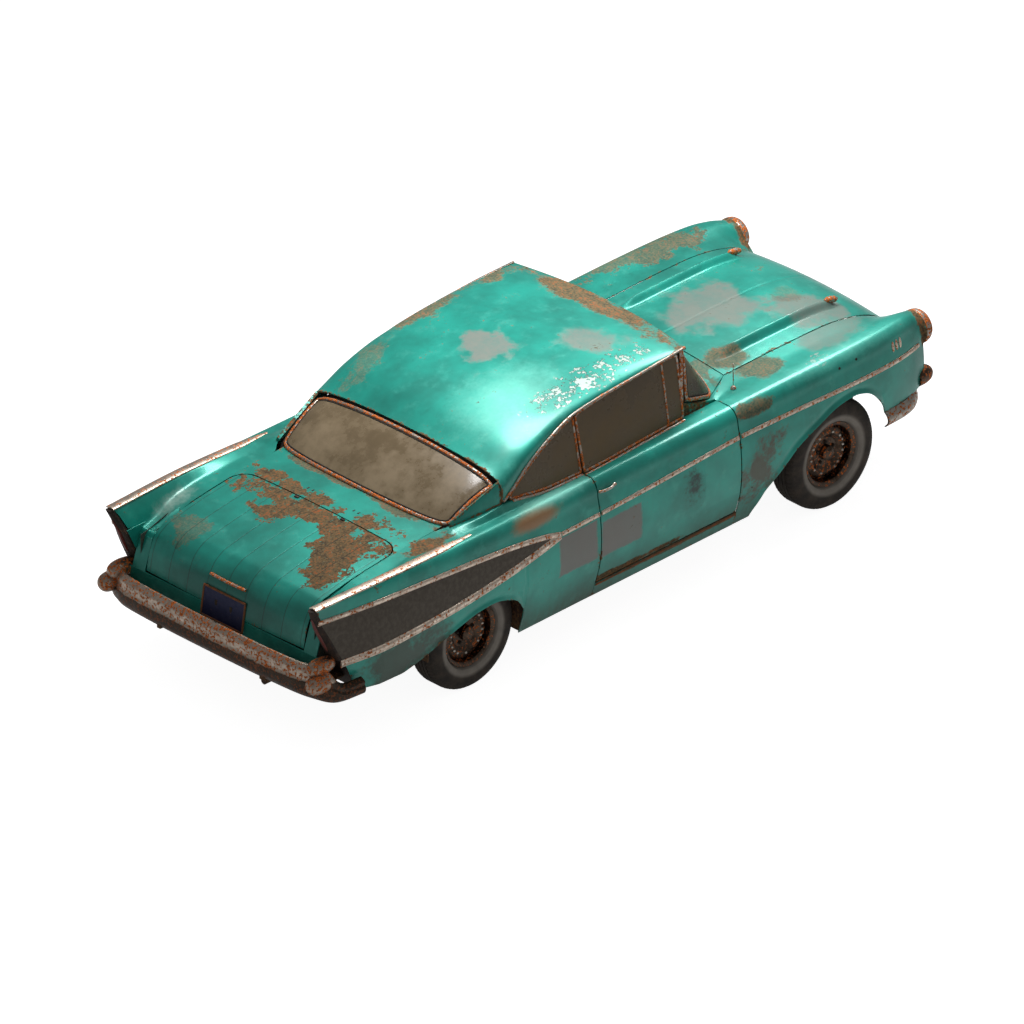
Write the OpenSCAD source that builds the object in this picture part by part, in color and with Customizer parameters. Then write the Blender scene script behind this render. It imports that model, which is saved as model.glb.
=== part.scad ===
// A weathered two-door hardtop car of the late 1950s, standing on its wheels.
// X points to the nose, Y to the left side and Z up. The origin is on the floor, midway along the car.

/* [Running gear] */
// Distance between the front and the rear axle
wheelbase = 2921; // [2500:1:3500]
// Distance between the two tyre centre planes of an axle
track = 1480; // [1400:1:1520]
// Outer radius of a tyre
tyre_r = 343; // [300:1:345]
// Width of a tyre
tyre_w = 205; // [170:1:215]
// Radius of the steel rim's flange
rim_r = 200; // [185:1:205]
// Distance from a tyre's centre plane inboard to its steering axis
steer_offset = 40; // [30:1:60]

/* [Body] */
// Distance from the front axle to the foremost point of the bumper
front_overhang = 860; // [800:1:1100]
// Distance from the rear axle to the rearmost point of the bumper
rear_overhang = 1340; // [1250:1:1600]
// Half of the body's greatest width
half_w = 936; // [930:1:1100]
// Height of the roof's highest point
roof_h = 1486; // [1440:1:1700]
// Height of the belt line under the side windows
belt_h = 1008; // [980:1:1030]
// Height of the rear fins above the belt line
fin_rise = 26; // [10:1:120]
// Height of the rockers' lower edge
sill_h = 230; // [200:1:250]
// Height of the doors' lower edge
door_low = 333; // [320:1:400]
// Thickness of the fender and quarter panel skins
skin_t = 12; // [8:1:14]
// Thickness of the hood, the trunk lid, the cowl and the decks
lid_t = 8; // [6:1:10]
// Thickness of the roof at its edge
roof_t = 16; // [10:1:22]
// Thickness of the window glass
glass_t = 6; // [5:1:8]

/* [Gaps] */
// Gap around each door
door_gap = 8; // [8:1:12]
// Gap around the hood and the trunk lid
lid_gap = 8; // [8:1:12]
// Gap between the door glass and what surrounds it
glass_gap = 7; // [6:1:10]
// Gap between pieces that are seated on each other
seat_gap = 0.3; // [0.2:0.1:0.5]
// Radial clearance of a pin in its bore
pin_play = 0.05; // [0.03:0.01:0.08]

/* [Hinges] */
// Distance from a lid's or door's edge to its hinge axis
hinge_back = 100; // [95:1:120]
// Depth of a hinge axis under the outer skin
hinge_depth = 21; // [18:1:23]
// Radius of the hinge pins
hinge_r = 5; // [4:0.5:6]

/* [Hidden] */
$fn = 48;

// Stations along the car
nose_x = (wheelbase + front_overhang + rear_overhang) / 2;
tail_x = -nose_x;
ax_f = nose_x - front_overhang;
ax_r = tail_x + rear_overhang;
door_f = ax_f - 830;
door_r = ax_r + 948;
hood_r = ax_f - 600;
hood_f = ax_f + 730;
fender_f = ax_f + 752;
arch_r0 = ax_r + 350;
window_r = ax_r - 52;
deck_f = ax_r - 119;
trunk_f = ax_r - 389;
trunk_r = ax_r - 1092;
fin_end = ax_r - 1225;
firewall_x = door_f + 105;
tub_r = tyre_r + 57;
wheel_y = track / 2;
steer_y = wheel_y - steer_offset;
rail_in = 390;
rail_w = 60;
floor_z = 260;
floor_t = 10;
trunk_z = 475;
inner_wall = 765;
apron_y = 455;

// ---- curves and skins -------------------------------------------------------------------

function segment_of(t, x, i = 0) = i >= len(t) - 2 || x < t[i + 1][0] ? i : segment_of(t, x, i + 1);
function slope(t, i) = let (a = max(i - 1, 0), b = min(i + 1, len(t) - 1))
  (t[b][1] - t[a][1]) / (t[b][0] - t[a][0]);
// Smooth curve through a table of [place, value] pairs, flat beyond its ends
function curve(t, place) = let (x = min(max(place, t[0][0]), t[len(t) - 1][0]), i = segment_of(t, x),
  h = t[i + 1][0] - t[i][0], u = (x - t[i][0]) / h)
  (1 + 2 * u) * (1 - u) * (1 - u) * t[i][1] + u * (1 - u) * (1 - u) * h * slope(t, i)
  + u * u * (3 - 2 * u) * t[i + 1][1] + u * u * (u - 1) * h * slope(t, i + 1);
function mix(a, b, u) = a + (b - a) * u;
function steps(a, b, n) = [for (i = [0:n]) mix(a, b, i / n)];

// Closed solid between two grids of points: outer[i][j] is the seen face, inner[i][j] the hidden one
module skin(outer, inner) {
  ni = len(outer);
  nj = len(outer[0]);
  n = ni * nj;
  points = [for (g = [outer, inner]) for (row = g) for (p = row) p];
  function at(g, i, j) = g * n + i * nj + j;
  function quad(a, b, c, d) = [[a, c, b], [a, d, c]];
  faces = [
    for (i = [0:ni - 2], j = [0:nj - 2]) each quad(at(0, i, j), at(0, i, j + 1), at(0, i + 1, j + 1), at(0, i + 1, j)),
    for (i = [0:ni - 2], j = [0:nj - 2]) each quad(at(1, i, j), at(1, i + 1, j), at(1, i + 1, j + 1), at(1, i, j + 1)),
    for (i = [0:ni - 2]) each quad(at(0, i, 0), at(0, i + 1, 0), at(1, i + 1, 0), at(1, i, 0)),
    for (i = [0:ni - 2]) each quad(at(0, i, nj - 1), at(1, i, nj - 1), at(1, i + 1, nj - 1), at(0, i + 1, nj - 1)),
    for (j = [0:nj - 2]) each quad(at(0, 0, j), at(1, 0, j), at(1, 0, j + 1), at(0, 0, j + 1)),
    for (j = [0:nj - 2]) each quad(at(0, ni - 1, j), at(0, ni - 1, j + 1), at(1, ni - 1, j + 1), at(1, ni - 1, j))];
  polyhedron(points, faces, convexity = 6);
}

module mirrored(side) {
  if (side > 0) children();
  else mirror([0, 1, 0]) children();
}

module both_sides() {
  for (side = [1, -1]) mirrored(side) children();
}

// Tube of round segments through a list of points
module pipe(points, r) {
  for (i = [0:len(points) - 2]) {
    d = points[i + 1] - points[i];
    translate(points[i]) rotate([0, acos(d[2] / norm(d)), atan2(d[1], d[0])]) cylinder(r = r, h = norm(d));
    if (i > 0) translate(points[i]) sphere(r = r + 1.5);
  }
}

// Bar of round section along Y
module cross_bar(x, z, r, y0, y1) {
  translate([x, y0, z]) rotate([-90, 0, 0]) cylinder(r = r, h = y1 - y0);
}

// ---- body lines, for the left side --------------------------------------------------------

// Half width at the widest level, and how far the side lies inside it at each height
wide = [[fin_end - 75, half_w - 74], [ax_r - 980, half_w - 34], [ax_r - 680, half_w - 11], [ax_r, half_w],
  [door_r, half_w - 6], [door_f, half_w - 12], [ax_f, half_w - 14], [ax_f + 400, half_w - 34],
  [ax_f + 630, half_w - 74], [fender_f, half_w - 116]];
tuck = [[sill_h, 80], [door_low, 48], [460, 14], [600, 0], [800, 10], [belt_h - 103, 30]];
shoulder_z = belt_h - 103;
// Height and outer and inner edge of the crown that runs along the fender, the door and the fin
crown_z = [[fin_end - 75, belt_h + fin_rise], [ax_r - 680, belt_h + fin_rise - 4], [ax_r - 80, belt_h + 7],
  [door_r, belt_h], [door_f, belt_h - 4], [ax_f, belt_h - 4], [ax_f + 400, belt_h - 8],
  [ax_f + 630, belt_h - 20], [fender_f, belt_h - 52]];
crown_out = [[fin_end - 75, half_w - 94], [ax_r - 680, half_w - 74], [ax_r - 80, half_w - 86],
  [door_r, half_w - 104], [door_f, half_w - 121], [ax_f, half_w - 124], [ax_f + 400, half_w - 136],
  [ax_f + 630, half_w - 166], [fender_f, half_w - 200]];
crown_in = [[fin_end - 75, half_w - 136], [ax_r - 680, half_w - 120], [ax_r - 80, half_w - 134],
  [window_r + 300, half_w - 146], [door_r, half_w - 144], [door_f - 470, half_w - 168],
  [door_f, half_w - 190], [ax_f, half_w - 176], [ax_f + 400, half_w - 190], [ax_f + 630, half_w - 216],
  [fender_f, half_w - 246]];
// Foot of the fin's inner wall
foot_y = [[fin_end - 75, 752], [ax_r - 680, 765], [window_r, 720], [window_r + 250, 770]];
// Height of the rear deck at its side, and where the quarter panel's top ends
deck_z = [[fin_end - 75, belt_h - 150], [trunk_r, belt_h - 118], [ax_r - 930, belt_h - 74],
  [ax_r - 680, belt_h - 36], [trunk_f, belt_h - 10], [window_r, belt_h + 2], [door_r, belt_h]];
deck_side = 640;
// Height of the hood at its side, and what it rises to at its ridges and centre
hood_z = [[door_f, belt_h - 6], [hood_r, belt_h - 6], [ax_f, belt_h - 4], [ax_f + 300, belt_h - 18],
  [ax_f + 560, belt_h - 80], [ax_f + 700, belt_h - 165], [hood_f, belt_h - 215]];
hood_side = 545;
ridge_y = 390;
ridge_rise = 42;
hood_crown = 34;

function seam_y(x) = x >= hood_r ? hood_side : mix(hood_side, 690, min(1, (hood_r - x) / (hood_r - door_f)));
function side_y(x, z) = curve(wide, x) - curve(tuck, z);
// Lower edge of the side, which follows the two wheel arches
arch_f = [[ax_f - 696, sill_h], [ax_f - 648, 326], [ax_f - 610, 392], [ax_f - 508, 482], [ax_f - 376, 592],
  [ax_f - 177, 680], [ax_f - 62, 722], [ax_f + 60, 738], [ax_f + 130, 733], [ax_f + 230, 690],
  [ax_f + 310, 600], [ax_f + 352, 513]];
arch_r = [[ax_r - 800, 372], [ax_r - 655, 378], [ax_r - 531, 412], [ax_r - 283, 503], [ax_r - 96, 559],
  [ax_r + 40, 574], [ax_r + 121, 568], [ax_r + 189, 545], [ax_r + 261, 510], [ax_r + 313, 443],
  [ax_r + 336, 392], [arch_r0, sill_h]];
function low_z(x) = x > ax_f + 352 ? 513 : x > ax_f - 696 ? curve(arch_f, x) : x >= arch_r0 ? sill_h : curve(arch_r, x);

// Rows of a side section from its lower edge over the crown; d is the depth under the outer skin
function side_rows(x, low, d) = let (y0 = side_y(x, shoulder_z) - d, yc = curve(crown_out, x) - d * 0.6,
  zc = curve(crown_z, x) - d)
  [for (f = [0, 0.2, 0.42, 0.66, 1]) let (z = mix(low, shoulder_z, f)) [side_y(x, z) - d, z],
   for (a = [30, 60, 90]) [yc + (y0 - yc) * cos(a), shoulder_z + (zc - shoulder_z) * sin(a)]];
function crown_inner(x, d) = [min(curve(crown_in, x) + d, curve(crown_out, x) - d * 0.6 - 4), curve(crown_z, x) - d];

// ---- side panels -----------------------------------------------------------------------------

function section(xs, rows) = [for (i = [0:len(xs) - 1]) [for (p = rows[i]) [xs[i], p[0], p[1]]]];

// Height of the hood and cowl surface, without the hood's two ridges
function top_z(x, y) = let (e = y / hood_side) curve(hood_z, x) + hood_crown * max(0, 1 - e * e);

function fender_rows(x, d) = let (e = seam_y(x) + (x >= hood_r ? lid_gap / 2 : seat_gap), c = crown_inner(x, d * 0.3),
  z = top_z(x, e) - d)
  [each side_rows(x, low_z(x), d), c, [mix(c[0], e, 0.5), mix(c[1], z, 0.5) - 8], [e, z]];
fender_x = [door_f + door_gap / 2, firewall_x, ax_f - 697, ax_f - 648, ax_f - 610, ax_f - 508, ax_f - 376,
  ax_f - 177, ax_f - 62, ax_f + 60, ax_f + 130, ax_f + 230, ax_f + 310, ax_f + 352,
  ax_f + 500, ax_f + 610, fender_f];

module front_fender() {
  color("teal") difference() {
    skin(section(fender_x, [for (x = fender_x) fender_rows(x, 0)]),
         section(fender_x, [for (x = fender_x) fender_rows(x, skin_t)]));
    for (z = hinge_z) translate([hinge_x, hinge_y, z - 15]) cylinder(r = barrel_r + 5, h = hinge_h + 30);
  }
}

// The side glass lies in one plane that leans inward from the belt to the drip rail
glass_low_y = [[ax_r + 335, half_w - 166], [door_r, half_w - 152], [door_f - 470, half_w - 186], [door_f - 270, half_w - 196]];
glass_top_y = [[ax_r + 335, half_w - 178], [door_r, half_w - 236], [door_f - 470, half_w - 262], [door_f - 270, half_w - 252]];
drip_z = [[window_r + 358, belt_h + 58], [ax_r + 335, belt_h + 66], [ax_r + 520, belt_h + 190],
  [ax_r + 720, belt_h + 290], [door_r, belt_h + 362], [door_f - 570, belt_h + 402], [door_f - 230, belt_h + 416]];
function door_in_y(x) = curve(glass_low_y, x) - 22;

// Outline of the gooseneck hinge arm, from its pin towards the panel it carries and inward
// (deep: the leg keeps behind a skin that stands close to the pin when the panel is wide open).
module gooseneck(reach, drop, rise, h, deep = false) {
  leg = deep ? [[-8, 0], [1, -9], [4, -19], [-31, -drop + 12]] : [[-8, 0], [-8, -20], [-38, -84], [-50, -drop + 12]];
  back = deep ? [[-20, -drop - 4], [17, -25], [9, 0]] : [[-42, -drop - 4], [8, -30], [8, 0]];
  linear_extrude(h) difference() {
    union() {
      circle(r = barrel_r);
      polygon([each leg, [-reach, -drop + 12], [-reach, rise],
        [-reach - 14, rise], [-reach - 14, -drop - 4], each back]);
    }
    circle(r = hinge_r + pin_play);
  }
}

module door() {
  x0 = door_r + door_gap / 2;
  x1 = door_f - door_gap / 2;
  xs = steps(x0, x1, 7);
  // rows from the lower edge over the crown to the slot of the glass, then the upright inner wall
  function outer_rows(x) = [each side_rows(x, door_low, 0), crown_inner(x, 0), [door_in_y(x) - 1, belt_h - 9]];
  function inner_rows(x) = [for (j = [0:9]) [door_in_y(x) - 2, mix(door_low + 1, belt_h - 12, j / 9)]];
  color("teal") {
    difference() {
      skin(section(xs, [for (x = xs) outer_rows(x)]), section(xs, [for (x = xs) inner_rows(x)]));
      // the window lift's space inside the door
      translate([x0 + 60, door_in_y(x0) + 8, door_low + 60]) cube([x1 - x0 - 260, 60, belt_h - door_low - 160]);
    }
    for (z = hinge_z) translate([hinge_x, hinge_y, z]) intersection() {
      gooseneck(hinge_back - 1, 106, -91, hinge_h, true);
      translate([-200, -200, -1]) cube([400, 400, hinge_h + 2]);
    }
  }
}

module left_door() { door(); }
module right_door() { mirror([0, 1, 0]) door(); }
module left_front_fender() { front_fender(); }
module right_front_fender() { mirror([0, 1, 0]) front_fender(); }

// Seat of the roof's rear pillar on the quarter panel, and the inner edge of the panel's top
seat_z = [[fin_end - 75, belt_h - 150], [trunk_r, belt_h - 118], [ax_r - 930, belt_h - 74],
  [ax_r - 680, belt_h - 36], [trunk_f, belt_h - 10], [deck_f, belt_h + 4], [window_r, belt_h + 22],
  [ax_r + 120, belt_h + 34], [ax_r + 335, belt_h + 52], [ax_r + 640, belt_h + 6], [door_r, belt_h - 2]];
quarter_edge = [[trunk_f, deck_side + lid_gap / 2], [deck_f - 50, deck_side + lid_gap / 2 + 1], [deck_f, deck_side + lid_gap / 2 + 6], [window_r, 692],
  [ax_r + 120, 728], [ax_r + 335, half_w - 190], [door_r, half_w - 178]];
quarter_foot = [[fin_end - 75, 752], [ax_r - 680, 765], [trunk_f, 740], [window_r, 735], [ax_r + 120, 764],
  [ax_r + 335, half_w - 160], [door_r, half_w - 156]];
quarter_x = [fin_end - 51, ax_r - 1180, ax_r - 1040, ax_r - 800, ax_r - 655, ax_r - 531, ax_r - 389, ax_r - 283,
  deck_f, window_r, ax_r + 40, ax_r + 121, ax_r + 189, ax_r + 261, window_r + 357, ax_r + 336, arch_r0 + 1,
  ax_r + 480, ax_r + 640, ax_r + 800, door_r - door_gap / 2];
// The tail end is cut on the slant: the fin reaches further back than the deck and the lower side
function tail_w(x) = max(0, min(1, (ax_r - 800 - x) / (ax_r - 800 - fin_end + 51)));
function tail_cut(z) = max(0, (belt_h + fin_rise - z) * 0.49);
function quarter_rows(x, d) = let (c = crown_inner(x, d * 0.3), zq = curve(seat_z, x) - d)
  [each side_rows(x, low_z(x), d), c, [curve(quarter_foot, x) - d * 0.5, zq],
   [curve(quarter_edge, x), zq]];
function quarter_grid(d) = [for (x = quarter_x) let (r = quarter_rows(x, d), w = tail_w(x))
  [for (j = [0:len(r) - 1]) [x + w * (j >= 9 ? 195 : tail_cut(r[j][1])), r[j][0], r[j][1]]]];

module quarter_panel() {
  color("teal") skin(quarter_grid(0), quarter_grid(skin_t));
}
module left_quarter_panel() { quarter_panel(); }
module right_quarter_panel() { mirror([0, 1, 0]) quarter_panel(); }

// ---- chassis and floor -------------------------------------------------------------------------

rail_low = 160;
rail_nose = 330;
rail_tail = 392;
mount_z = rail_nose + 100;
riser_x = ax_r + 500;
module chassis_frame() {
  color("saddlebrown") {
    both_sides() {
      translate([0, rail_in, 0]) rotate([90, 0, 0]) mirror([0, 0, 1]) linear_extrude(rail_w)
        polygon([[ax_f + 545, mount_z], [ax_f + 545, rail_nose], [ax_f - 500, rail_nose],
          [ax_f - 760, rail_low], [ax_r + 400, rail_low], [ax_r + 230, rail_tail], [tail_x + 330, rail_tail],
          [tail_x + 330, trunk_z], [riser_x - 180, trunk_z], [riser_x - 12, floor_z], [firewall_x + 24, floor_z],
          [ax_f - 540, mount_z]]);
      // outriggers that carry the floor out to the sills
      for (x = [door_f - 60, 60, door_r - 330]) translate([x, rail_in + rail_w, rail_low + 20])
        cube([60, inner_wall - 25 - rail_in - rail_w, floor_z - rail_low - 20]);
    }
    // cross members: front suspension, gearbox, middle and tail
    translate([ax_f - 45, -rail_in, rail_nose - 90]) cube([90, 2 * rail_in, 70]);
    translate([ax_f - 45, -rail_in, rail_nose - 30]) cube([90, 60, 40]);
    translate([ax_f - 45, rail_in - 60, rail_nose - 30]) cube([90, 60, 40]);
    both_sides() translate([ax_f - 45, rail_in - 1, rail_nose - 90]) cube([90, rail_w + 1, 91]);
    translate([560, -rail_in, rail_low]) cube([80, 2 * rail_in, 28]);
    translate([ax_r + 640, -rail_in, rail_low]) cube([60, 2 * rail_in, 30]);
    translate([tail_x + 330, -rail_in, rail_tail]) cube([60, 2 * rail_in, trunk_z - rail_tail]);
  }
}

tunnel_w = 150;
tunnel_z = 370;
trunk_end = trunk_r - 20;
tub_y = 590;
rocker_x0 = door_r - door_gap / 2 + seat_gap;
rocker_x1 = door_f + door_gap / 2 - seat_gap;
rocker_x = steps(rocker_x0, rocker_x1, 3);
module floor_pan() {
  color("sienna") {
    // main floor with its tunnel, the step up behind the rear seat and the trunk floor
    translate([riser_x, 0, 0]) rotate([90, 0, 90]) linear_extrude(firewall_x - riser_x)
      polygon([[-inner_wall + 20, floor_z], [-tunnel_w, floor_z], [-tunnel_w + 20, tunnel_z], [tunnel_w - 20, tunnel_z],
        [tunnel_w, floor_z], [inner_wall - 20, floor_z], [inner_wall - 20, floor_z + floor_t],
        [tunnel_w + 7, floor_z + floor_t], [tunnel_w - 13, tunnel_z + floor_t], [-tunnel_w + 13, tunnel_z + floor_t],
        [-tunnel_w - 7, floor_z + floor_t], [-inner_wall + 20, floor_z + floor_t]]);
    both_sides() {
      translate([riser_x - 100, inner_wall - 21, floor_z]) cube([door_r - 20 - riser_x + 100, 82, floor_t]);
    }
    translate([riser_x - floor_t, 0, 0]) rotate([90, 0, 90]) linear_extrude(floor_t) difference() {
      translate([-inner_wall - 30, floor_z]) square([2 * inner_wall + 60, trunk_z - floor_z + floor_t]);
      polygon([[-tunnel_w, floor_z - 1], [-tunnel_w + 20, tunnel_z], [tunnel_w - 20, tunnel_z], [tunnel_w, floor_z - 1]]);
    }
    translate([trunk_end, -tub_y, trunk_z]) cube([riser_x - trunk_end, 2 * tub_y, floor_t]);
    both_sides() {
      translate([trunk_end, tub_y - 1, trunk_z]) cube([ax_r - tub_r - 12 - trunk_end, 210, floor_t]);
      translate([ax_r + tub_r + 12, tub_y - 1, trunk_z]) cube([riser_x - ax_r - tub_r - 12, 210, floor_t]);
      // wheelhouse over the rear tyre
      translate([ax_r, 0, tyre_r]) rotate([-90, 0, 0]) {
        difference() {
          translate([0, 0, tub_y]) cylinder(r = tub_r, h = half_w - skin_t - 55 - tub_y);
          translate([0, 0, tub_y + 6]) cylinder(r = tub_r - 6, h = half_w);
          translate([-2 * tub_r, 0, tub_y - 1]) cube([4 * tub_r, 2 * tub_r, half_w]);
          translate([-2 * tub_r, tyre_r - trunk_z, tub_y - 1]) cube([4 * tub_r, 2 * tub_r, 7.5]);
        }
      }
      translate([ax_r - tub_r - 14, tub_y, trunk_z]) cube([30, 210, floor_t]);
      translate([ax_r + tub_r - 24, tub_y, trunk_z]) cube([38, 210, floor_t]);
    }
  }
  // rockers below the doors
  color("teal") both_sides() skin(section(rocker_x, [for (x = rocker_x) [for (z = [sill_h, 278, door_low - door_gap]) [side_y(x, z), z]]]),
    section(rocker_x, [for (x = rocker_x) [for (z = [sill_h + 4, 278, door_low - door_gap]) [inner_wall - 21, z]]]));
}

// ---- engine bay ---------------------------------------------------------------------------------

block_x0 = ax_f - 510;
block_x1 = ax_f + 140;
gear_x = 560;
module engine() {
  color("dimgray") {
    translate([block_x0, -230, mount_z - 80]) cube([block_x1 - block_x0, 460, 520]);
    translate([gear_x, -105, 195]) cube([block_x0 - gear_x + 1, 210, 165]);
    // mounting arms that rest on the frame rails
    both_sides() translate([block_x0 + 300, 229, mount_z]) cube([80, rail_in + rail_w - 20 - 229, 40]);
  }
}

apron_x0 = firewall_x + 20;
support_x = ax_f + 420;
module inner_fenders() {
  color("teal") {
    both_sides() {
      // apron that stands on the frame rail and carries the fender's top edge
      translate([0, rail_in + rail_w - 10, 0]) rotate([90, 0, 0]) mirror([0, 0, 1]) linear_extrude(8)
        polygon([[apron_x0 + 130, mount_z], [support_x + 1, mount_z], [support_x + 1, 880], [ax_f + 200, 970], [apron_x0, 970], [apron_x0, 600]]);
      translate([apron_x0, rail_in + rail_w - 10, 962]) cube([ax_f + 200 - apron_x0, 100, 8]);
    }
    translate([support_x, 0, 0]) rotate([90, 0, 90]) linear_extrude(10) difference() {
      translate([-rail_in - rail_w + 2, mount_z]) square([2 * (rail_in + rail_w - 2), 420]);
      translate([-330, mount_z + 60]) square([660, 300]);
    }
  }
}

grille_x = fender_f + 2;
module grille() {
  color("silver") {
    translate([grille_x, 0, 0]) rotate([90, 0, 90]) linear_extrude(14) difference() {
      polygon([[-790, 514], [790, 514], [800, 600], [770, 742], [620, 745], [560, 770], [-560, 770], [-620, 745],
        [-770, 742], [-800, 600]]);
      translate([-600, 534]) square([1200, 192]);
    }
    for (i = [0:3]) translate([grille_x + 2, -605, 556 + i * 42]) cube([8, 1210, 14]);
    for (i = [-4:4]) translate([grille_x + 9, i * 130 - 4, 530]) cube([6, 8, 200]);
    both_sides() translate([support_x + 10.3, rail_in + 10, mount_z]) cube([60, 30, 100]);
    both_sides() translate([support_x + 10.3, rail_in + 10, mount_z + 88]) cube([grille_x - support_x - 9, 30, 30]);
  }
}

// ---- cowl, hood and trunk lid --------------------------------------------------------------------

// Height of the deck and the trunk lid at their sides
deck_side_z = [[trunk_r - 82, 640], [trunk_r - 70, 740], [trunk_r, belt_h - 128], [ax_r - 930, belt_h - 74],
  [ax_r - 680, belt_h - 36], [trunk_f, belt_h - 10], [deck_f, belt_h + 4], [window_r + 40, belt_h + 10]];
barrel_r = 9;
hinge_h = 34;
hinge_z = [470, 760];
hinge_x = door_f - door_gap / 2 + hinge_back;
hinge_y = curve(wide, hinge_x) - hinge_depth;
hood_hinge_x = hood_r + lid_gap / 2 - hinge_back;
hood_hinge_z = curve(hood_z, hood_hinge_x) + 31 - hinge_depth;
lid_hinge_x = trunk_f - lid_gap / 2 + hinge_back;
lid_hinge_z = curve(deck_side_z, lid_hinge_x) + 13 - hinge_depth;
lid_hinge_y = 200;
hood_hinge_y = 200;

// Two ears with the pin between them, on a foot that reaches back from the pin
module hinge_bracket(foot, side_reach, h) {
  translate([0, 0, -1 - 8]) cylinder(r = hinge_r, h = h + 2 + 16);
  for (z = [-1 - 8, h + 1]) translate([0, 0, z]) linear_extrude(8) union() {
    circle(r = barrel_r);
    polygon([[-barrel_r + 1, 0], [barrel_r, 0], [foot, -side_reach + 30], [foot, -side_reach], [foot - 12, -side_reach]]);
  }
}

cowl_rows_y = [0, 180, 360, 480];
// Where the windshield stands on the cowl: s runs from the centre line to the side
shield_low = [[0, 1030], [250, 1018], [450, 985], [600, 926], [688, 850]];
module cowl() {
  rear = [for (y = [-1, -0.75, -0.5, -0.25, 0, 0.25, 0.5, 0.75, 1]) y];
  function edge(x) = seam_y(x);
  xs = [0, 0.5, 1];
  function pt(u, v, d) = let (x1 = hood_r - lid_gap / 2, yr = v * seam_y(x1), yb = v * 688,
    xb = curve(shield_low, abs(yb)) - 34, y = mix(yb, yr, u), x = mix(xb, x1, u)) [x, y, top_z(x, y) - d];
  color("teal") {
    skin([for (u = xs) [for (v = rear) pt(u, -v, 0)]], [for (u = xs) [for (v = rear) pt(u, -v, lid_t)]]);
    // firewall with the hinge pillars at its ends
    translate([firewall_x + 10 - 0.2, 0, 0]) rotate([90, 0, 90]) linear_extrude(10) difference() {
      polygon([[-835, floor_z + 60], [-tunnel_w - 20, floor_z], [tunnel_w + 20, floor_z], [835, floor_z + 60], [835, belt_h - 36],
        [560, belt_h - 22], [0, belt_h + 18], [-560, belt_h - 22], [-835, belt_h - 36]]);
      polygon([[-tunnel_w, floor_z - 1], [-tunnel_w + 20, tunnel_z], [tunnel_w - 20, tunnel_z], [tunnel_w, floor_z - 1]]);
      // notches for the hood's hinge arms
      for (side = [1, -1]) translate([side * (hood_hinge_y - 15) - 22, hood_hinge_z - 37]) square([44, 80]);
    }
    translate([firewall_x - 0.2 + 5, -560, belt_h - 30]) cube([6, 1120, 22]);
    both_sides() {
      // kick panel beside the feet, and the post's foot on it
      translate([door_f - 2 + seat_gap, 689, floor_z + floor_t + seat_gap]) cube([firewall_x - door_f + 14, 20, belt_h - 32 - floor_z - floor_t]);
      for (z = hinge_z) translate([hinge_x, hinge_y, z]) {
        hinge_bracket(firewall_x + 10 - hinge_x, 100, hinge_h);
      }
    }
    both_sides() translate([hood_hinge_x, hood_hinge_y, hood_hinge_z]) rotate([90, 0, 0]) {
      translate([0, 0, -9]) cylinder(r = hinge_r, h = 30 + 18);
      for (z = [-9, 31]) translate([0, 0, z]) linear_extrude(8) union() {
        circle(r = barrel_r);
        translate([-barrel_r, 0]) square([2 * barrel_r, hinge_depth - lid_t + 2]);
      }
    }
  }
}

lid_rows = [0, 150, 300, ridge_y - 35, ridge_y, ridge_y + 35, hood_side - lid_gap / 2];
function ridge(x, y) = let (a = max(0, 1 - abs(abs(y) - ridge_y) / 36), b = min(1, max(0, (x - hood_r - 50) / 120)),
  c = min(1, max(0, (ax_f + 470 - x) / 100))) ridge_rise * a * min(b, c);
hood_x = [hood_r + lid_gap / 2, hood_r + 50, hood_r + 170, ax_f - 100, ax_f + 200, ax_f + 370, ax_f + 470,
  ax_f + 560, ax_f + 640, ax_f + 700, hood_f];
module hood() {
  ys = [for (y = [for (i = [len(lid_rows) - 1:-1:1]) lid_rows[i]]) y];
  all_y = [each ys, 0, for (i = [1:len(lid_rows) - 1]) -lid_rows[i]];
  function pt(x, y, d) = let (s = max(0, (x - ax_f - 470) / 260)) [x - d * s, y, top_z(x, y) + ridge(x, y) - d];
  color("teal") {
    skin([for (x = hood_x) [for (y = all_y) pt(x, y, 0)]], [for (x = hood_x) [for (y = all_y) pt(x, y, lid_t)]]);
    both_sides() translate([hood_hinge_x, hood_hinge_y, hood_hinge_z]) rotate([90, 0, 0]) mirror([1, 0, 0])
      gooseneck(hinge_back + 6, 102, hinge_depth - lid_t + 2, 30);
  }
}

deck_crown = 16;
function deck_top(x, y) = let (e = y / deck_side) curve(deck_side_z, x) + deck_crown * (1 - e * e);
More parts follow.
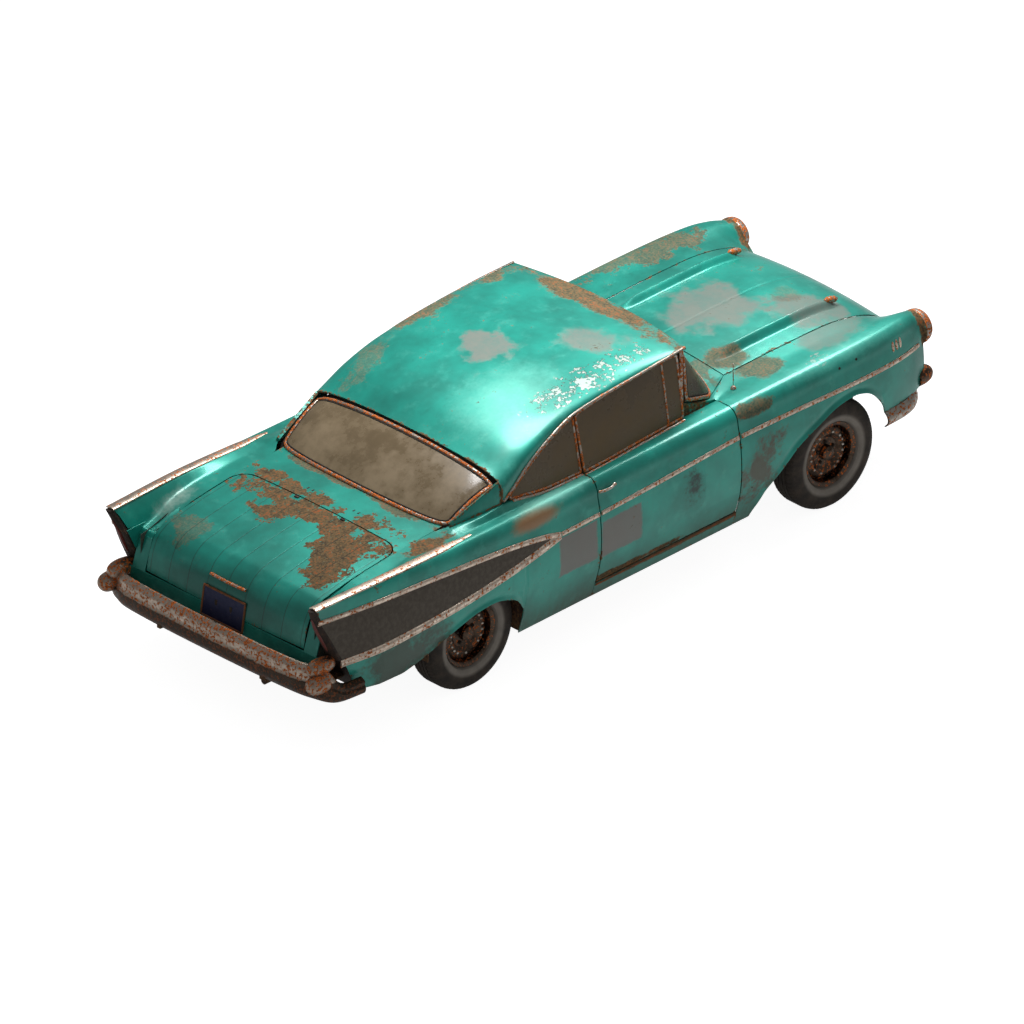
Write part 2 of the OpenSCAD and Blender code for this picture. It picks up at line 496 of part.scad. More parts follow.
// Side view of the trunk lid from its front edge over the crease and down its rear face
lid_path = [for (p = [[trunk_f - lid_gap / 2, 0], [ax_r - 520, 0], [ax_r - 680, 0], [ax_r - 800, 0],
  [ax_r - 930, 0], [ax_r - 1030, 0]]) [p[0], curve(deck_side_z, p[0]), 0]];
lid_face = [[trunk_r, belt_h - 128, 0.2], [trunk_r - 26, belt_h - 160, 0.7], [trunk_r - 52, belt_h - 220, 1],
  [trunk_r - 70, belt_h - 290, 1], [trunk_r - 80, 655, 1]];
module trunk_lid() {
  path = [each lid_path, each lid_face];
  vs = steps(1, -1, 8);
  w = deck_side - lid_gap / 2;
  function pt(p, v, d) = [p[0] + d * p[2] - deck_crown * (1 - v * v) * p[2], v * w, p[1] + deck_crown * (1 - v * v) * (1 - p[2]) - d * (1 - p[2])];
  color("teal") {
    skin([for (i = [len(path) - 1:-1:0]) [for (v = vs) pt(path[i], v, 0)]],
         [for (i = [len(path) - 1:-1:0]) [for (v = vs) pt(path[i], v, lid_t)]]);
    both_sides() translate([lid_hinge_x, lid_hinge_y, lid_hinge_z]) rotate([90, 0, 0])
      gooseneck(hinge_back + 6, 108, hinge_depth - lid_t + 5, 30);
  }
}

module rear_deck() {
  vs = steps(1, -1, 8);
  w = deck_side + lid_gap / 2 - seat_gap;
  xs = [0, 0.5, 1];
  function pt(u, v, d) = let (y = v * w, x0 = trunk_f + lid_gap / 2, x1 = deck_f + 60 * v * v, x = mix(x0, x1, u)) [x, y, deck_top(x, y) - d];
  color("teal") {
    skin([for (u = xs) [for (v = vs) pt(u, v, 0)]], [for (u = xs) [for (v = vs) pt(u, v, lid_t)]]);
    // hinge brackets under the deck
    both_sides() translate([lid_hinge_x, lid_hinge_y, lid_hinge_z]) rotate([90, 0, 0]) {
      translate([0, 0, -9]) cylinder(r = hinge_r, h = 30 + 18);
      for (z = [-9, 31]) translate([0, 0, z]) linear_extrude(8) union() {
        circle(r = barrel_r);
        translate([-barrel_r, 0]) square([2 * barrel_r, hinge_depth - lid_t + 7]);
      }
    }
    // parcel shelf and the panel that joins it to the deck
    translate([deck_f + 20, -620, belt_h - 76]) cube([420, 1240, 8]);
    translate([deck_f + 20, -620, belt_h - 76]) cube([8, 1240, 74]);
    // tail panel below and beside the lid
    translate([trunk_end - 70, -760, trunk_z - 5]) cube([8, 1520, 651 - trunk_z]);
    both_sides() hull() {
      translate([trunk_end - 70, deck_side + lid_gap / 2, 640]) cube([8, 100, 8]);
      translate([trunk_end - 6, deck_side + lid_gap / 2, belt_h - 178]) cube([8, 100, 8]);
    }
    translate([trunk_end - 64, -560, trunk_z]) cube([64, 1120, 10]);
  }
}

// ---- roof and glass --------------------------------------------------------------------------------

roof_f = door_f - 230;
roof_r = window_r + 357;
roof_centre = [[roof_r, 1262], [ax_r + 520, 1362], [ax_r + 820, roof_h - 44], [0, roof_h - 4], [200, roof_h],
  [door_f - 370, roof_h - 22], [roof_f, roof_h - 56]];
roof_edge_z = [[roof_r, belt_h + 60], [ax_r + 335, belt_h + 72], [ax_r + 520, belt_h + 206], [ax_r + 720, belt_h + 304],
  [door_r, belt_h + 372], [door_f - 570, belt_h + 412], [roof_f, belt_h + 424]];
roof_edge_y = [[roof_r, half_w - 172], [ax_r + 335, half_w - 172], [ax_r + 720, half_w - 206], [door_r, half_w - 224],
  [door_f - 570, half_w - 232], [roof_f, half_w - 246]];
roof_shape = [[roof_r, 0.33], [ax_r + 720, 0.5], [door_r, 0.7], [roof_f, 0.75]];
pillar_t = 24;
function roof_rows(x, t) = let (yd = curve(roof_edge_y, x), zd = curve(roof_edge_z, x), zc = curve(roof_centre, x), p = curve(roof_shape, x))
  [for (a = [-90, -80, -68, -52, -34, -16, 0, 16, 34, 52, 68, 80, 90])
    [(yd - t) * -sin(a), zd + (zc - t * 0.8 - zd) * pow(max(cos(a), 0), p)]];
// The header bows forward in the middle
function roof_grid(t) = let (xs = [roof_r, ax_r + 335, ax_r + 430, ax_r + 520, ax_r + 720, door_r, 0, door_f - 570, door_f - 400, roof_f])
  [for (i = [0:len(xs) - 1]) [for (p = roof_rows(xs[i], t)) [xs[i] + (i == len(xs) - 1 ? 78 : i == len(xs) - 2 ? 24 : 0) * (1 - pow(p[0] / 690, 2)), p[0], p[1]]]];

sail_r = window_r;
function sail_rows(x, t) = let (u = (x - sail_r) / (roof_r - sail_r), yb = mix(708, half_w - 172, u) - t, yt = mix(700, half_w - 196, u) - t,
  zb = curve(seat_z, x) + seat_gap, zt = max(zb + 12, mix(belt_h + 46, belt_h + 190, u)))
  [for (f = [0, 0.35, 0.7, 1]) [mix(yb, yt, f * f), mix(zb, zt, f)]];
sail_x = [sail_r, ax_r + 40, ax_r + 121, ax_r + 189, ax_r + 261, roof_r - seat_gap];
module roof() {
  color("teal") {
    skin(roof_grid(0), roof_grid(roof_t));
    both_sides() {
      // rear pillar, from the roof down to its seat on the quarter panel
      skin(section(sail_x, [for (x = sail_x) sail_rows(x, 0)]), section(sail_x, [for (x = sail_x) sail_rows(x, pillar_t)]));
      // windshield post and its foot on the cowl
      hull() {
        translate([door_f - 277, 689, belt_h]) cube([28, 20, 20]);
        translate([door_f - 262, 664, belt_h + 412]) cube([28, 20, 8]);
      }
      translate([0, 689, 0]) rotate([90, 0, 0]) mirror([0, 0, 1]) linear_extrude(20)
        polygon([[door_f - 277, belt_h - 16], [door_f - 40, belt_h - 16], [door_f - 40, belt_h - 60], [door_f - 2, belt_h - 60],
          [door_f - 2, belt_h - 2], [door_f - 40, belt_h + 8], [door_f - 249, belt_h + 72], [door_f - 277, belt_h + 72]]);
    }
  }
}

// Windshield: s runs over the half width, from the centre to the post
shield_bottom = [[0, 1030, 0], [0.25, 1018, 250], [0.5, 985, 450], [0.72, 915, 610], [0.86, 838, 686], [1, door_f - 240, 704]];
shield_top = [[0, 706, 0], [0.25, 702, 210], [0.5, 690, 410], [0.72, 672, 560], [0.86, 656, 630], [1, door_f - 226, 668]];
function col(t, k) = [for (p = t) [p[0], p[k]]];
function shield_low_z(x, y) = x > door_f - 30 ? top_z(x, y) + 3.5 : belt_h + 11 + (door_f - 30 - x) * 0.3;
module windshield() {
  ss = [1, 0.86, 0.72, 0.5, 0.25, 0, -0.25, -0.5, -0.72, -0.86, -1];
  function pt(s, v, d) = let (a = abs(s), xb = curve(col(shield_bottom, 1), a), yb = curve(col(shield_bottom, 2), a),
    xt = curve(col(shield_top, 1), a), yt = curve(col(shield_top, 2), a), zb = shield_low_z(xb, yb), zt = belt_h + mix(410, 398, a),
    q = 18 * v * (1 - v) * 4 * (1 - a))
    [mix(xb, xt, v) + q - d * (1 - a * 0.8), (mix(yb, yt, v) - d * a) * sign(s), mix(zb, zt, v)];
  color("lightblue") skin([for (v = [1, 0.66, 0.33, 0]) [for (s = ss) pt(s, v, 0)]],
    [for (v = [1, 0.66, 0.33, 0]) [for (s = ss) pt(s, v, glass_t)]]);
}

rear_low = [[0, deck_f + 4, 0], [0.3, deck_f + 8, 230], [0.6, deck_f + 24, 460], [0.85, deck_f + 54, 620], [1, deck_f + 96, 676]];
rear_top = [[0, roof_r - 8, 0], [0.3, roof_r - 8, 230], [0.6, roof_r - 8, 450], [0.85, roof_r - 8, 630], [1, roof_r - 8, 712]];
rear_top_z = [[0, 1244], [0.3, 1240], [0.6, 1226], [0.85, 1200], [1, 1164]];
module rear_window() {
  ss = [1, 0.85, 0.6, 0.3, 0, -0.3, -0.6, -0.85, -1];
  function pt(s, v, d) = let (a = abs(s), xb = curve(col(rear_low, 1), a), yb = curve(col(rear_low, 2), a),
    xt = curve(col(rear_top, 1), a), yt = curve(col(rear_top, 2), a), zb = deck_top(xb, min(yb, deck_side)) + 1 + seat_gap, zt = curve(rear_top_z, a),
    q = 22 * v * (1 - v) * 4)
    [mix(xb, xt, v), (mix(yb, yt, v) - d * a) * sign(s), mix(zb, zt, v) + q - (v > 0.01 ? d : 0) * (1 - a * 0.5)];
  color("khaki") skin([for (v = [0, 0.33, 0.66, 1]) [for (s = ss) pt(s, v, 0)]],
    [for (v = [0, 0.33, 0.66, 1]) [for (s = ss) [pt(s, v, glass_t)[0] + 5 * (1 - v), pt(s, v, glass_t)[1], pt(s, v, glass_t)[2] ]]]);
}

// Side glass from its lower edge in the belt to just under the drip rail
function side_glass(xs, low, gap) = [for (t = [0, glass_t]) [for (x = xs) let (yb = curve(glass_low_y, x), yt = curve(glass_top_y, x), zt = curve(drip_z, x) - gap, zb = low)
  [for (v = [0, 0.5, 1]) [x, mix(yb, yt, v) - t, mix(zb, zt, v)]]]];
module door_glass() {
  xs = [door_r + glass_gap / 2, door_r + 240, door_f - 620, door_f - 450, door_f - 277 - glass_gap];
  g = side_glass(xs, belt_h - 1.7, glass_gap);
  color("darkkhaki") skin(g[0], g[1]);
}
module left_door_glass() { door_glass(); }
module right_door_glass() { mirror([0, 1, 0]) door_glass(); }
module quarter_glass() {
  xs = [ax_r + 372, ax_r + 450, ax_r + 520, ax_r + 640, ax_r + 800, door_r - glass_gap / 2];
  g = [for (t = [0, glass_t]) [for (x = xs) let (yb = curve(quarter_edge, x) + 16, yt = curve(glass_top_y, x), zt = curve(drip_z, x) - glass_gap, zb = curve(seat_z, x) + 2)
    [for (v = [0, 0.5, 1]) [x, mix(yb, yt, v) - t, mix(zb, zt, v)]]]];
  color("darkkhaki") both_sides() skin(g[0], g[1]);
}

// ---- bumpers and lamps -------------------------------------------------------------------------------

// Bar bent along a path of [x, y, lower edge, upper edge]; the profile is [outward, share of the height] pairs
module bumper_bar(path, prof, t) {
  n = len(path);
  dir = [for (i = [0:n - 1]) let (a = path[max(i - 1, 0)], b = path[min(i + 1, n - 1)], d = [b[0] - a[0], b[1] - a[1]]) d / norm(d)];
  function pt(i, q, s) = let (o = [-dir[i][1], dir[i][0]]) [path[i][0] + o[0] * (q[0] - s), path[i][1] + o[1] * (q[0] - s), mix(path[i][2], path[i][3], q[1])];
  skin([for (i = [0:n - 1]) [for (q = prof) pt(i, q, 0)]], [for (i = [0:n - 1]) [for (q = prof) pt(i, q, t)]]);
}

function mirrored_path(h) = [for (i = [len(h) - 1:-1:1]) h[i], h[0], for (i = [1:len(h) - 1]) [h[i][0], -h[i][1], h[i][2], h[i][3]]];
bumper_t = 12;
rear_half = [[tail_x + 40, 0, 428, 632], [tail_x + 44, 400, 428, 632], [tail_x + 60, 680, 425, 632], [tail_x + 95, 790, 415, 625],
  [tail_x + 150, 862, 396, 590], [tail_x + 230, 892, 384, 500], [tail_x + 378, 905, 380, 490]];
front_half = [[nose_x - 60, 0, 392, 508], [nose_x - 66, 400, 392, 508], [nose_x - 90, 640, 395, 508], [nose_x - 140, 760, 400, 508],
  [nose_x - 230, 850, 404, 508], [nose_x - 330, 890, 408, 508], [nose_x - 500, 904, 412, 508]];
module rear_bumper() {
  color("silver") {
    p = mirrored_path([for (q = rear_half) [-q[0], q[1], q[2], q[3]]]);
    mirror([1, 0, 0]) bumper_bar(p, [[-4, 0], [22, 0.2], [30, 0.5], [18, 0.85], [-6, 1]], bumper_t);
    both_sides() {
      translate([tail_x + 60, 842, 576]) intersection() {
        rotate([0, 90, 0]) cylinder(r = 46, h = 60);
        translate([30, 0, 0]) sphere(r = 90);
      }
      translate([tail_x, 842, 576]) rotate([0, 90, 0]) rotate_extrude() polygon([[0, 0], [22, 6], [40, 30], [46, 62], [46, 110], [0, 110]]);
      // bracket to the frame rail
      translate([tail_x + 42, rail_in + 10, rail_tail + 20]) cube([288, 30, 44]);
    }
  }
}
module front_bumper() {
  color("silver") {
    bumper_bar(mirrored_path(front_half), [[-4, 0], [18, 0.25], [24, 0.5], [12, 0.8], [-8, 1]], bumper_t);
    both_sides() {
      translate([nose_x, 560, 455]) rotate([0, -90, 0]) rotate_extrude() polygon([[0, 0], [24, 6], [48, 34], [58, 70], [58, 120], [0, 120]]);
      translate([ax_f + 545.3, rail_in + 10, rail_nose + 40]) cube([nose_x - 74 - ax_f - 545, 30, 40]);
    }
  }
}

lamp_y = 742;
lamp_z = 850;
module headlights() {
  color("silver") both_sides() translate([fender_f + seat_gap, lamp_y, lamp_z]) rotate([0, 90, 0])
    rotate_extrude() polygon([[0, 0], [100, 0], [103, 10], [102, 44], [96, 62], [84, 64], [80, 40], [60, 50], [30, 57], [0, 59]]);
}

// Housing that closes the slanted end of the fin
module tail_lights() {
  x_last = fin_end - 51;
  r = side_rows(x_last, low_z(x_last), 0);
  top = crown_inner(x_last, 0);
  outline = [for (z = [640, 700, 770, 840]) [side_y(x_last, z), z], r[4], r[5], r[6], r[7]];
  function pt(p, v, d) = let (y = mix(p[0], max(742, min(p[0] - 4, z_in(p[1]))), v)) [x_last + tail_cut(p[1]) - seat_gap - 24 + d, y, p[1]];
  function z_in(z) = z < belt_h - 150 ? 752 : mix(752, top[0], (z - belt_h + 150) / (150 + fin_rise));
  color("firebrick") both_sides()
    skin([for (p = outline) [for (v = [0, 0.5, 1]) pt(p, v, 0)]], [for (p = outline) [for (v = [0, 0.5, 1]) pt(p, v, 24)]]);
}

// ---- cabin ------------------------------------------------------------------------------------------------

seat_w = 1240;
module cushion(x0, x1, z0, z1, w, r) {
  hull() for (x = [x0 + r, x1 - r], z = [z0 + r, z1 - r]) translate([x, -w / 2, z]) rotate([-90, 0, 0]) cylinder(r = r, h = w);
}
module front_seat() {
  color("tan") {
    cushion(-60, 430, tunnel_z + floor_t + 4, 540, seat_w, 30);
    hull() {
      translate([-90, -seat_w / 2, 470]) rotate([-90, 0, 0]) cylinder(r = 50, h = seat_w);
      translate([-200, -seat_w / 2, 850]) rotate([-90, 0, 0]) cylinder(r = 45, h = seat_w);
    }
    both_sides() translate([-20, 300, floor_z + floor_t]) cube([360, 60, tunnel_z + 24 - floor_z]);
  }
}
module rear_seat() {
  color("tan") {
    cushion(riser_x + 1, riser_x + 420, floor_z + floor_t + 130, 500, 1180, 30);
    translate([riser_x + 1, -585, floor_z + floor_t + 115]) cube([380, 1170, 50]);
    both_sides() translate([riser_x + 40, 300, floor_z + floor_t]) cube([320, 100, 140]);
    hull() {
      translate([riser_x - 50, -580, trunk_z + floor_t + 40 + seat_gap]) rotate([-90, 0, 0]) cylinder(r = 40, h = 1160);
      translate([riser_x - 150, -580, 880]) rotate([-90, 0, 0]) cylinder(r = 40, h = 1160);
    }
  }
}

wheel_c = [455, 370, 850];
column_tilt = 28;
column_len = 600;
module dashboard() {
  color("olive") {
    difference() {
      union() {
        translate([0, -675, 0]) rotate([90, 0, 0]) mirror([0, 0, 1]) linear_extrude(1350)
          polygon([[680, 770], [700, 750], [firewall_x - 20, 750], [firewall_x - 20, 930], [760, 955], [690, 950], [672, 880]]);
        translate([firewall_x - 21, -300, 800]) cube([30.7, 600, 40]);
        translate(wheel_c) rotate([0, 90 + column_tilt, 0]) translate([0, 0, 70]) cylinder(r = 24, h = column_len);
        translate([720, wheel_c[1] - 15, 700]) cube([50, 30, 60]);
      }
      translate(wheel_c) rotate([0, 90 + column_tilt, 0]) translate([0, 0, 60]) cylinder(r = 12 + pin_play, h = column_len + 100);
      translate([firewall_x + 9.7, 0, 0]) cube([400, 800, 900]);
    }
  }
}
module steering_wheel() {
  color("ivory") translate(wheel_c) rotate([0, 90 + column_tilt, 0]) {
    rotate_extrude() translate([205, 0]) circle(r = 11);
    cylinder(r = 12, h = 480);
    translate([0, 0, -12]) cylinder(r = 42, h = 60);
    for (a = [80, 280, 180]) rotate([0, 0, a]) translate([0, -8, -6]) cube([205, 16, 10]);
  }
}

// ---- driveline and fuel ------------------------------------------------------------------------------------

axle_end = wheel_y - 50;
spindle_r = 18;
hub_r = 34;
spindle_end = wheel_y + 62;
module rear_axle() {
  color("dimgray") {
    cross_bar(ax_r, tyre_r, 40, -axle_end, axle_end);
    both_sides() cross_bar(ax_r, tyre_r, spindle_r, axle_end - 1, spindle_end);
    translate([ax_r, 0, tyre_r]) sphere(r = 108);
    translate([ax_r, 0, tyre_r]) rotate([0, 90, 0]) cylinder(r = 45, h = 170);
  }
}
spring_y = rail_in + rail_w + 10;
spring_t = 30;
module leaf_springs() {
  color("dimgray") both_sides() {
    translate([0, spring_y, 0]) rotate([90, 0, 0]) mirror([0, 0, 1]) linear_extrude(56)
      polygon([[ax_r - 760, 400], [ax_r - 500, 330], [ax_r - 150, tyre_r - 40.3 - spring_t], [ax_r + 150, tyre_r - 40.3 - spring_t],
        [ax_r + 350, 298], [ax_r + 470, 325], [ax_r + 470, 345], [ax_r + 350, 316], [ax_r + 150, tyre_r - 40.3], [ax_r - 150, tyre_r - 40.3],
        [ax_r - 500, 348], [ax_r - 760, 420]]);
    // shackle and front hanger on the frame rail
    translate([ax_r - 790, rail_in + rail_w, 396]) cube([40, 66, 60]);
    translate([ax_r + 440, rail_in + rail_w, 250]) cube([40, 66, 105]);
  }
}
joint_r = 36;
drive_a = [gear_x - seat_gap - joint_r, 0, 282];
drive_b = [ax_r + 170 + seat_gap + joint_r, 0, tyre_r];
module driveshaft() {
  d = drive_b - drive_a;
  color("dimgray") {
    translate(drive_a) sphere(r = joint_r);
    translate(drive_b) sphere(r = joint_r);
    translate(drive_a) rotate([0, acos(d[2] / norm(d)), atan2(d[1], d[0])]) cylinder(r = 28, h = norm(d));
  }
}
module exhaust() {
  y = -300;
  color("brown") {
    pipe([[block_x0 + 60, y, mount_z - 110], [block_x0 - 140, y, 216], [ax_r + 300, y, 216], [ax_r + 130, y, 430], [ax_r - 160, y, 430],
      [ax_r - 320, y, 300], [tail_x + 180, y, 300]], 22);
    translate([ax_r + 700, y, 186]) rotate([0, 90, 0]) cylinder(r = 68, h = 460);
    translate([block_x0 + 60, y, mount_z - 110]) cylinder(r = 30, h = 50);
    translate([block_x0 + 20, y - 30, mount_z - 70]) cube([260, 99.7, 80]);
    translate([ax_r - 420, y - 8, 318]) cube([16, 16, trunk_z - 318]);
  }
}
module fuel_tank() {
  color("gray") translate([ax_r - 900, -230, 290]) cube([500, 600, trunk_z - 290]);
}

// ---- front suspension and steering ---------------------------------------------------------------------------

arm_low = 226;
arm_top = 452;
arm_t = 20;
king_r = 11;
module arm(z, half) {
  difference() {
    translate([0, 0, z]) linear_extrude(arm_t) union() {
      polygon([[ax_f - half, rail_in + rail_w + 1], [ax_f + half, rail_in + rail_w + 1], [ax_f + 26, steer_y], [ax_f - 26, steer_y]]);
      translate([ax_f, steer_y]) circle(r = 26);
    }
    translate([ax_f, steer_y, z - 1]) cylinder(r = king_r + pin_play, h = arm_t + 2);
  }
}
module front_suspension() {
  color("dimgray") both_sides() {
    arm(arm_low, 150);
    arm(arm_top, 130);
    translate([ax_f - 150, rail_in + rail_w, arm_low - 6]) cube([300, 12, 44]);
    translate([ax_f - 45, rail_in + rail_w, arm_low]) cube([90, 12, 70]);
    translate([ax_f - 130, rail_in + rail_w, rail_nose + 60]) cube([260, 10, 120]);
    // coil spring tower, with the spring as one plain cylinder
    translate([ax_f, rail_in + rail_w + 62, arm_low + arm_t - 1]) cylinder(r = 45, h = 260);
  }
}
tie_x = ax_f - 107;
tie_z = 300;
module knuckle() {
  color("dimgray") {
    translate([ax_f, steer_y, arm_low + arm_t + seat_gap]) cylinder(r = 24, h = arm_top - arm_low - arm_t - 2 * seat_gap);
    translate([ax_f, steer_y, arm_low]) cylinder(r = king_r, h = arm_top + arm_t - arm_low);
    cross_bar(ax_f, tyre_r, 30, steer_y, steer_y + 34);
    cross_bar(ax_f, tyre_r, spindle_r, steer_y + 30, spindle_end);
    translate([tie_x, steer_y - 42, tie_z]) cube([110, 30, 14]);
    translate([tie_x, steer_y - 27, tie_z]) cylinder(r = 16, h = 14);
    translate([ax_f - 50, steer_y - 42, tie_z]) cube([50, 50, 14]);
  }
}
module left_knuckle() { knuckle(); }
module right_knuckle() { mirror([0, 1, 0]) knuckle(); }
module tie_rod() {
  color("dimgray") {
    cross_bar(tie_x, tie_z - 12, 10, -steer_y + 27, steer_y - 27);
    both_sides() translate([tie_x, steer_y - 27, tie_z - 24]) cylinder(r = 15, h = 24 - seat_gap);
  }
}

// ---- wheels and tyres -------------------------------------------------------------------------------------------

rim_w = 150;
bead_r = rim_r - 10;
module wheel() {
  color("saddlebrown") rotate([-90, 0, 0]) difference() {
    rotate_extrude() polygon([[0, 44], [hub_r, 44], [hub_r, 20], [88, 14], [120, 34], [150, 30], [bead_r - 14, 6], [bead_r - 14, -rim_w / 2 + 8],
      [rim_r - 8, -rim_w / 2], [rim_r, -rim_w / 2], [rim_r, -rim_w / 2 + 8], [bead_r, -rim_w / 2 + 18], [bead_r, rim_w / 2 - 18], [rim_r, rim_w / 2 - 8], [rim_r, rim_w / 2],
      [rim_r - 8, rim_w / 2], [bead_r - 14, rim_w / 2 - 12], [bead_r - 14, 18], [152, 40], [118, 44], [90, 24], [hub_r + 12, 26], [hub_r + 12, 66], [hub_r - 8, 72], [0, 72]]);
    translate([0, 0, 0]) cylinder(r = spindle_r + pin_play, h = 64);
  }
}
module tyre() {
  color("darkslategray") rotate([-90, 0, 0]) rotate_extrude() difference() {
    offset_shape();
  }
}
module offset_shape() {
  h = tyre_w / 2;
  m = bead_r + 0.3;
  polygon([[m, -rim_w / 2 + 19], [m, rim_w / 2 - 19], [rim_r + 0.3, rim_w / 2 - 9], [rim_r + 12, h - 14], [rim_r + 60, h], [tyre_r - 52, h - 3],
    [tyre_r - 18, h - 16], [tyre_r - 4, h - 34], [tyre_r, h - 60], [tyre_r, -h + 60], [tyre_r - 4, -h + 34], [tyre_r - 18, -h + 16],
    [tyre_r - 52, -h + 3], [rim_r + 60, -h], [rim_r + 12, -h + 14], [rim_r + 0.3, -rim_w / 2 + 9]]);
}
module at_wheel(x, side) { mirrored(side) translate([x, wheel_y, tyre_r]) children(); }
module front_left_tyre() { at_wheel(ax_f, 1) tyre(); }
module front_right_tyre() { at_wheel(ax_f, -1) tyre(); }
module rear_left_tyre() { at_wheel(ax_r, 1) tyre(); }
module rear_right_tyre() { at_wheel(ax_r, -1) tyre(); }
module front_left_wheel() { at_wheel(ax_f, 1) wheel(); }
module front_right_wheel() { at_wheel(ax_f, -1) wheel(); }
module rear_left_wheel() { at_wheel(ax_r, 1) wheel(); }
module rear_right_wheel() { at_wheel(ax_r, -1) wheel(); }

chassis_frame();
floor_pan();
engine();
left_front_fender();
right_front_fender();
inner_fenders();
grille();
cowl();
roof();
left_quarter_panel();
right_quarter_panel();
rear_deck();
hood();
trunk_lid();
left_door();
right_door();
windshield();
rear_window();
left_door_glass();
right_door_glass();
quarter_glass();
front_bumper();
rear_bumper();
headlights();
tail_lights();
front_seat();
rear_seat();
dashboard();
steering_wheel();
rear_axle();
leaf_springs();
driveshaft();
exhaust();
fuel_tank();
front_suspension();
left_knuckle();
right_knuckle();
tie_rod();
front_left_tyre();
front_right_tyre();
rear_left_tyre();
rear_right_tyre();
front_left_wheel();
front_right_wheel();
rear_left_wheel();
rear_right_wheel();
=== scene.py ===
import math
from functools import reduce

import bmesh
import bpy
import numpy as np
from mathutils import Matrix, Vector


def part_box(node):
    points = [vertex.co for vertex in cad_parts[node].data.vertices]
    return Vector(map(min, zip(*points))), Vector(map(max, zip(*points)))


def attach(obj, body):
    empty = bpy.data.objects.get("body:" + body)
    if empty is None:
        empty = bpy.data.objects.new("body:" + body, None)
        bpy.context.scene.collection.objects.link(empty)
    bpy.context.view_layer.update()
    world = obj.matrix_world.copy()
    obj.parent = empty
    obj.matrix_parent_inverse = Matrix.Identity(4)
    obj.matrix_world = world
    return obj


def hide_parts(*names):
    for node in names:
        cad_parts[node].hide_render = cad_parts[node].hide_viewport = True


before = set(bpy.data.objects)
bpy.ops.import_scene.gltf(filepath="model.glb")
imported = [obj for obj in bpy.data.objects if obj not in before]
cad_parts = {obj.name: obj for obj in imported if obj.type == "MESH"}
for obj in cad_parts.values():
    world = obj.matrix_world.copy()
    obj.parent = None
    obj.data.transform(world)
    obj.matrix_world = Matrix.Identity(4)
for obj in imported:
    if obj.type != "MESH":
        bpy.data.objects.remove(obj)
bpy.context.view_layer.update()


# Stations along the car in millimetres, from the frame's own boxes
def boxOf(node):
    low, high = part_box(node)
    return np.array(low) * 1000, np.array(high) * 1000


tyreLow, tyreHigh = boxOf("front_left_tyre")
rearLow, rearHigh = boxOf("rear_left_tyre")
axF, wheelY, tyreR = (tyreLow[0] + tyreHigh[0]) / 2, (tyreLow[1] + tyreHigh[1]) / 2, (tyreHigh[2] - tyreLow[2]) / 2
axR = (rearLow[0] + rearHigh[0]) / 2
noseX, tailX = boxOf("front_bumper")[1][0], boxOf("rear_bumper")[0][0]
body = dict(halfWidth=936, belt=1008, finRise=26, doorLow=333, skin=5, roofSkin=12,
            doorGap=8, lidGap=8, glassGap=7, glass=6, deckSide=640, hoodSide=545, hoodCrown=34, ridgeY=390,
            ridgeRise=42, ridgeHalf=44, deckCrown=16)
halfW, belt, finRise = body["halfWidth"], body["belt"], body["finRise"]
doorF, doorR, hoodR, hoodF, fenderF = axF - 830, axR + 948, axF - 600, axF + 730, axF + 752
archEnd, windowR, deckF, trunkF, trunkR, finEnd = axR + 350, axR - 52, axR - 119, axR - 389, axR - 1092, axR - 1225
firewallX, roofF, roofR = doorF + 105, doorF - 230, axR + 305


# Cubic between two values, given the slopes at both
def hermite(u, a, b, slopeA, slopeB):
    return ((1 + 2 * u) * (1 - u) ** 2 * a + u * (1 - u) ** 2 * slopeA
            + u * u * (3 - 2 * u) * b + u * u * (u - 1) * slopeB)


# Smooth cubic through a table of [place, value] pairs, with central slopes, flat beyond its ends
def curve(table, place):
    t = np.array(table, float)
    x, y = t[:, 0], t[:, 1]
    slope = np.gradient(y)
    slope[1:-1] = (y[2:] - y[:-2]) / (x[2:] - x[:-2])
    slope[0], slope[-1] = (y[1] - y[0]) / (x[1] - x[0]), (y[-1] - y[-2]) / (x[-1] - x[-2])
    p = np.clip(place, x[0], x[-1])
    i = np.clip(np.searchsorted(x, p, side="right") - 1, 0, len(x) - 2)
    step = x[i + 1] - x[i]
    return hermite((p - x[i]) / step, y[i], y[i + 1], step * slope[i], step * slope[i + 1])


# Cubic through a list of point arrays, with central slopes, sampled at even steps of its parameter
def through(points, count):
    p = np.stack([np.asarray(q, float) for q in points])
    m = np.gradient(p, axis=0)
    t = np.linspace(0, len(p) - 1, count)
    i = np.minimum(t.astype(int), len(p) - 2)
    u = (t - i).reshape(-1, *[1] * (p.ndim - 1))
    return hermite(u, p[i], p[i + 1], m[i], m[i + 1])


def smooth(value, low, high):
    t = np.clip((value - low) / (high - low), 0, 1)
    return t * t * (3 - 2 * t)


def mix(a, b, u):
    return a + (b - a) * u


def unit(vectors):
    return vectors / np.maximum(np.linalg.norm(vectors, axis=-1, keepdims=True), 1e-9)


# Two grids of parameters: one from low to high along the rows, one from 0 to 1 along the columns
def spans(low, high, count, rows):
    return np.meshgrid(np.linspace(low, high, count), np.linspace(0, 1, rows), indexing="ij")


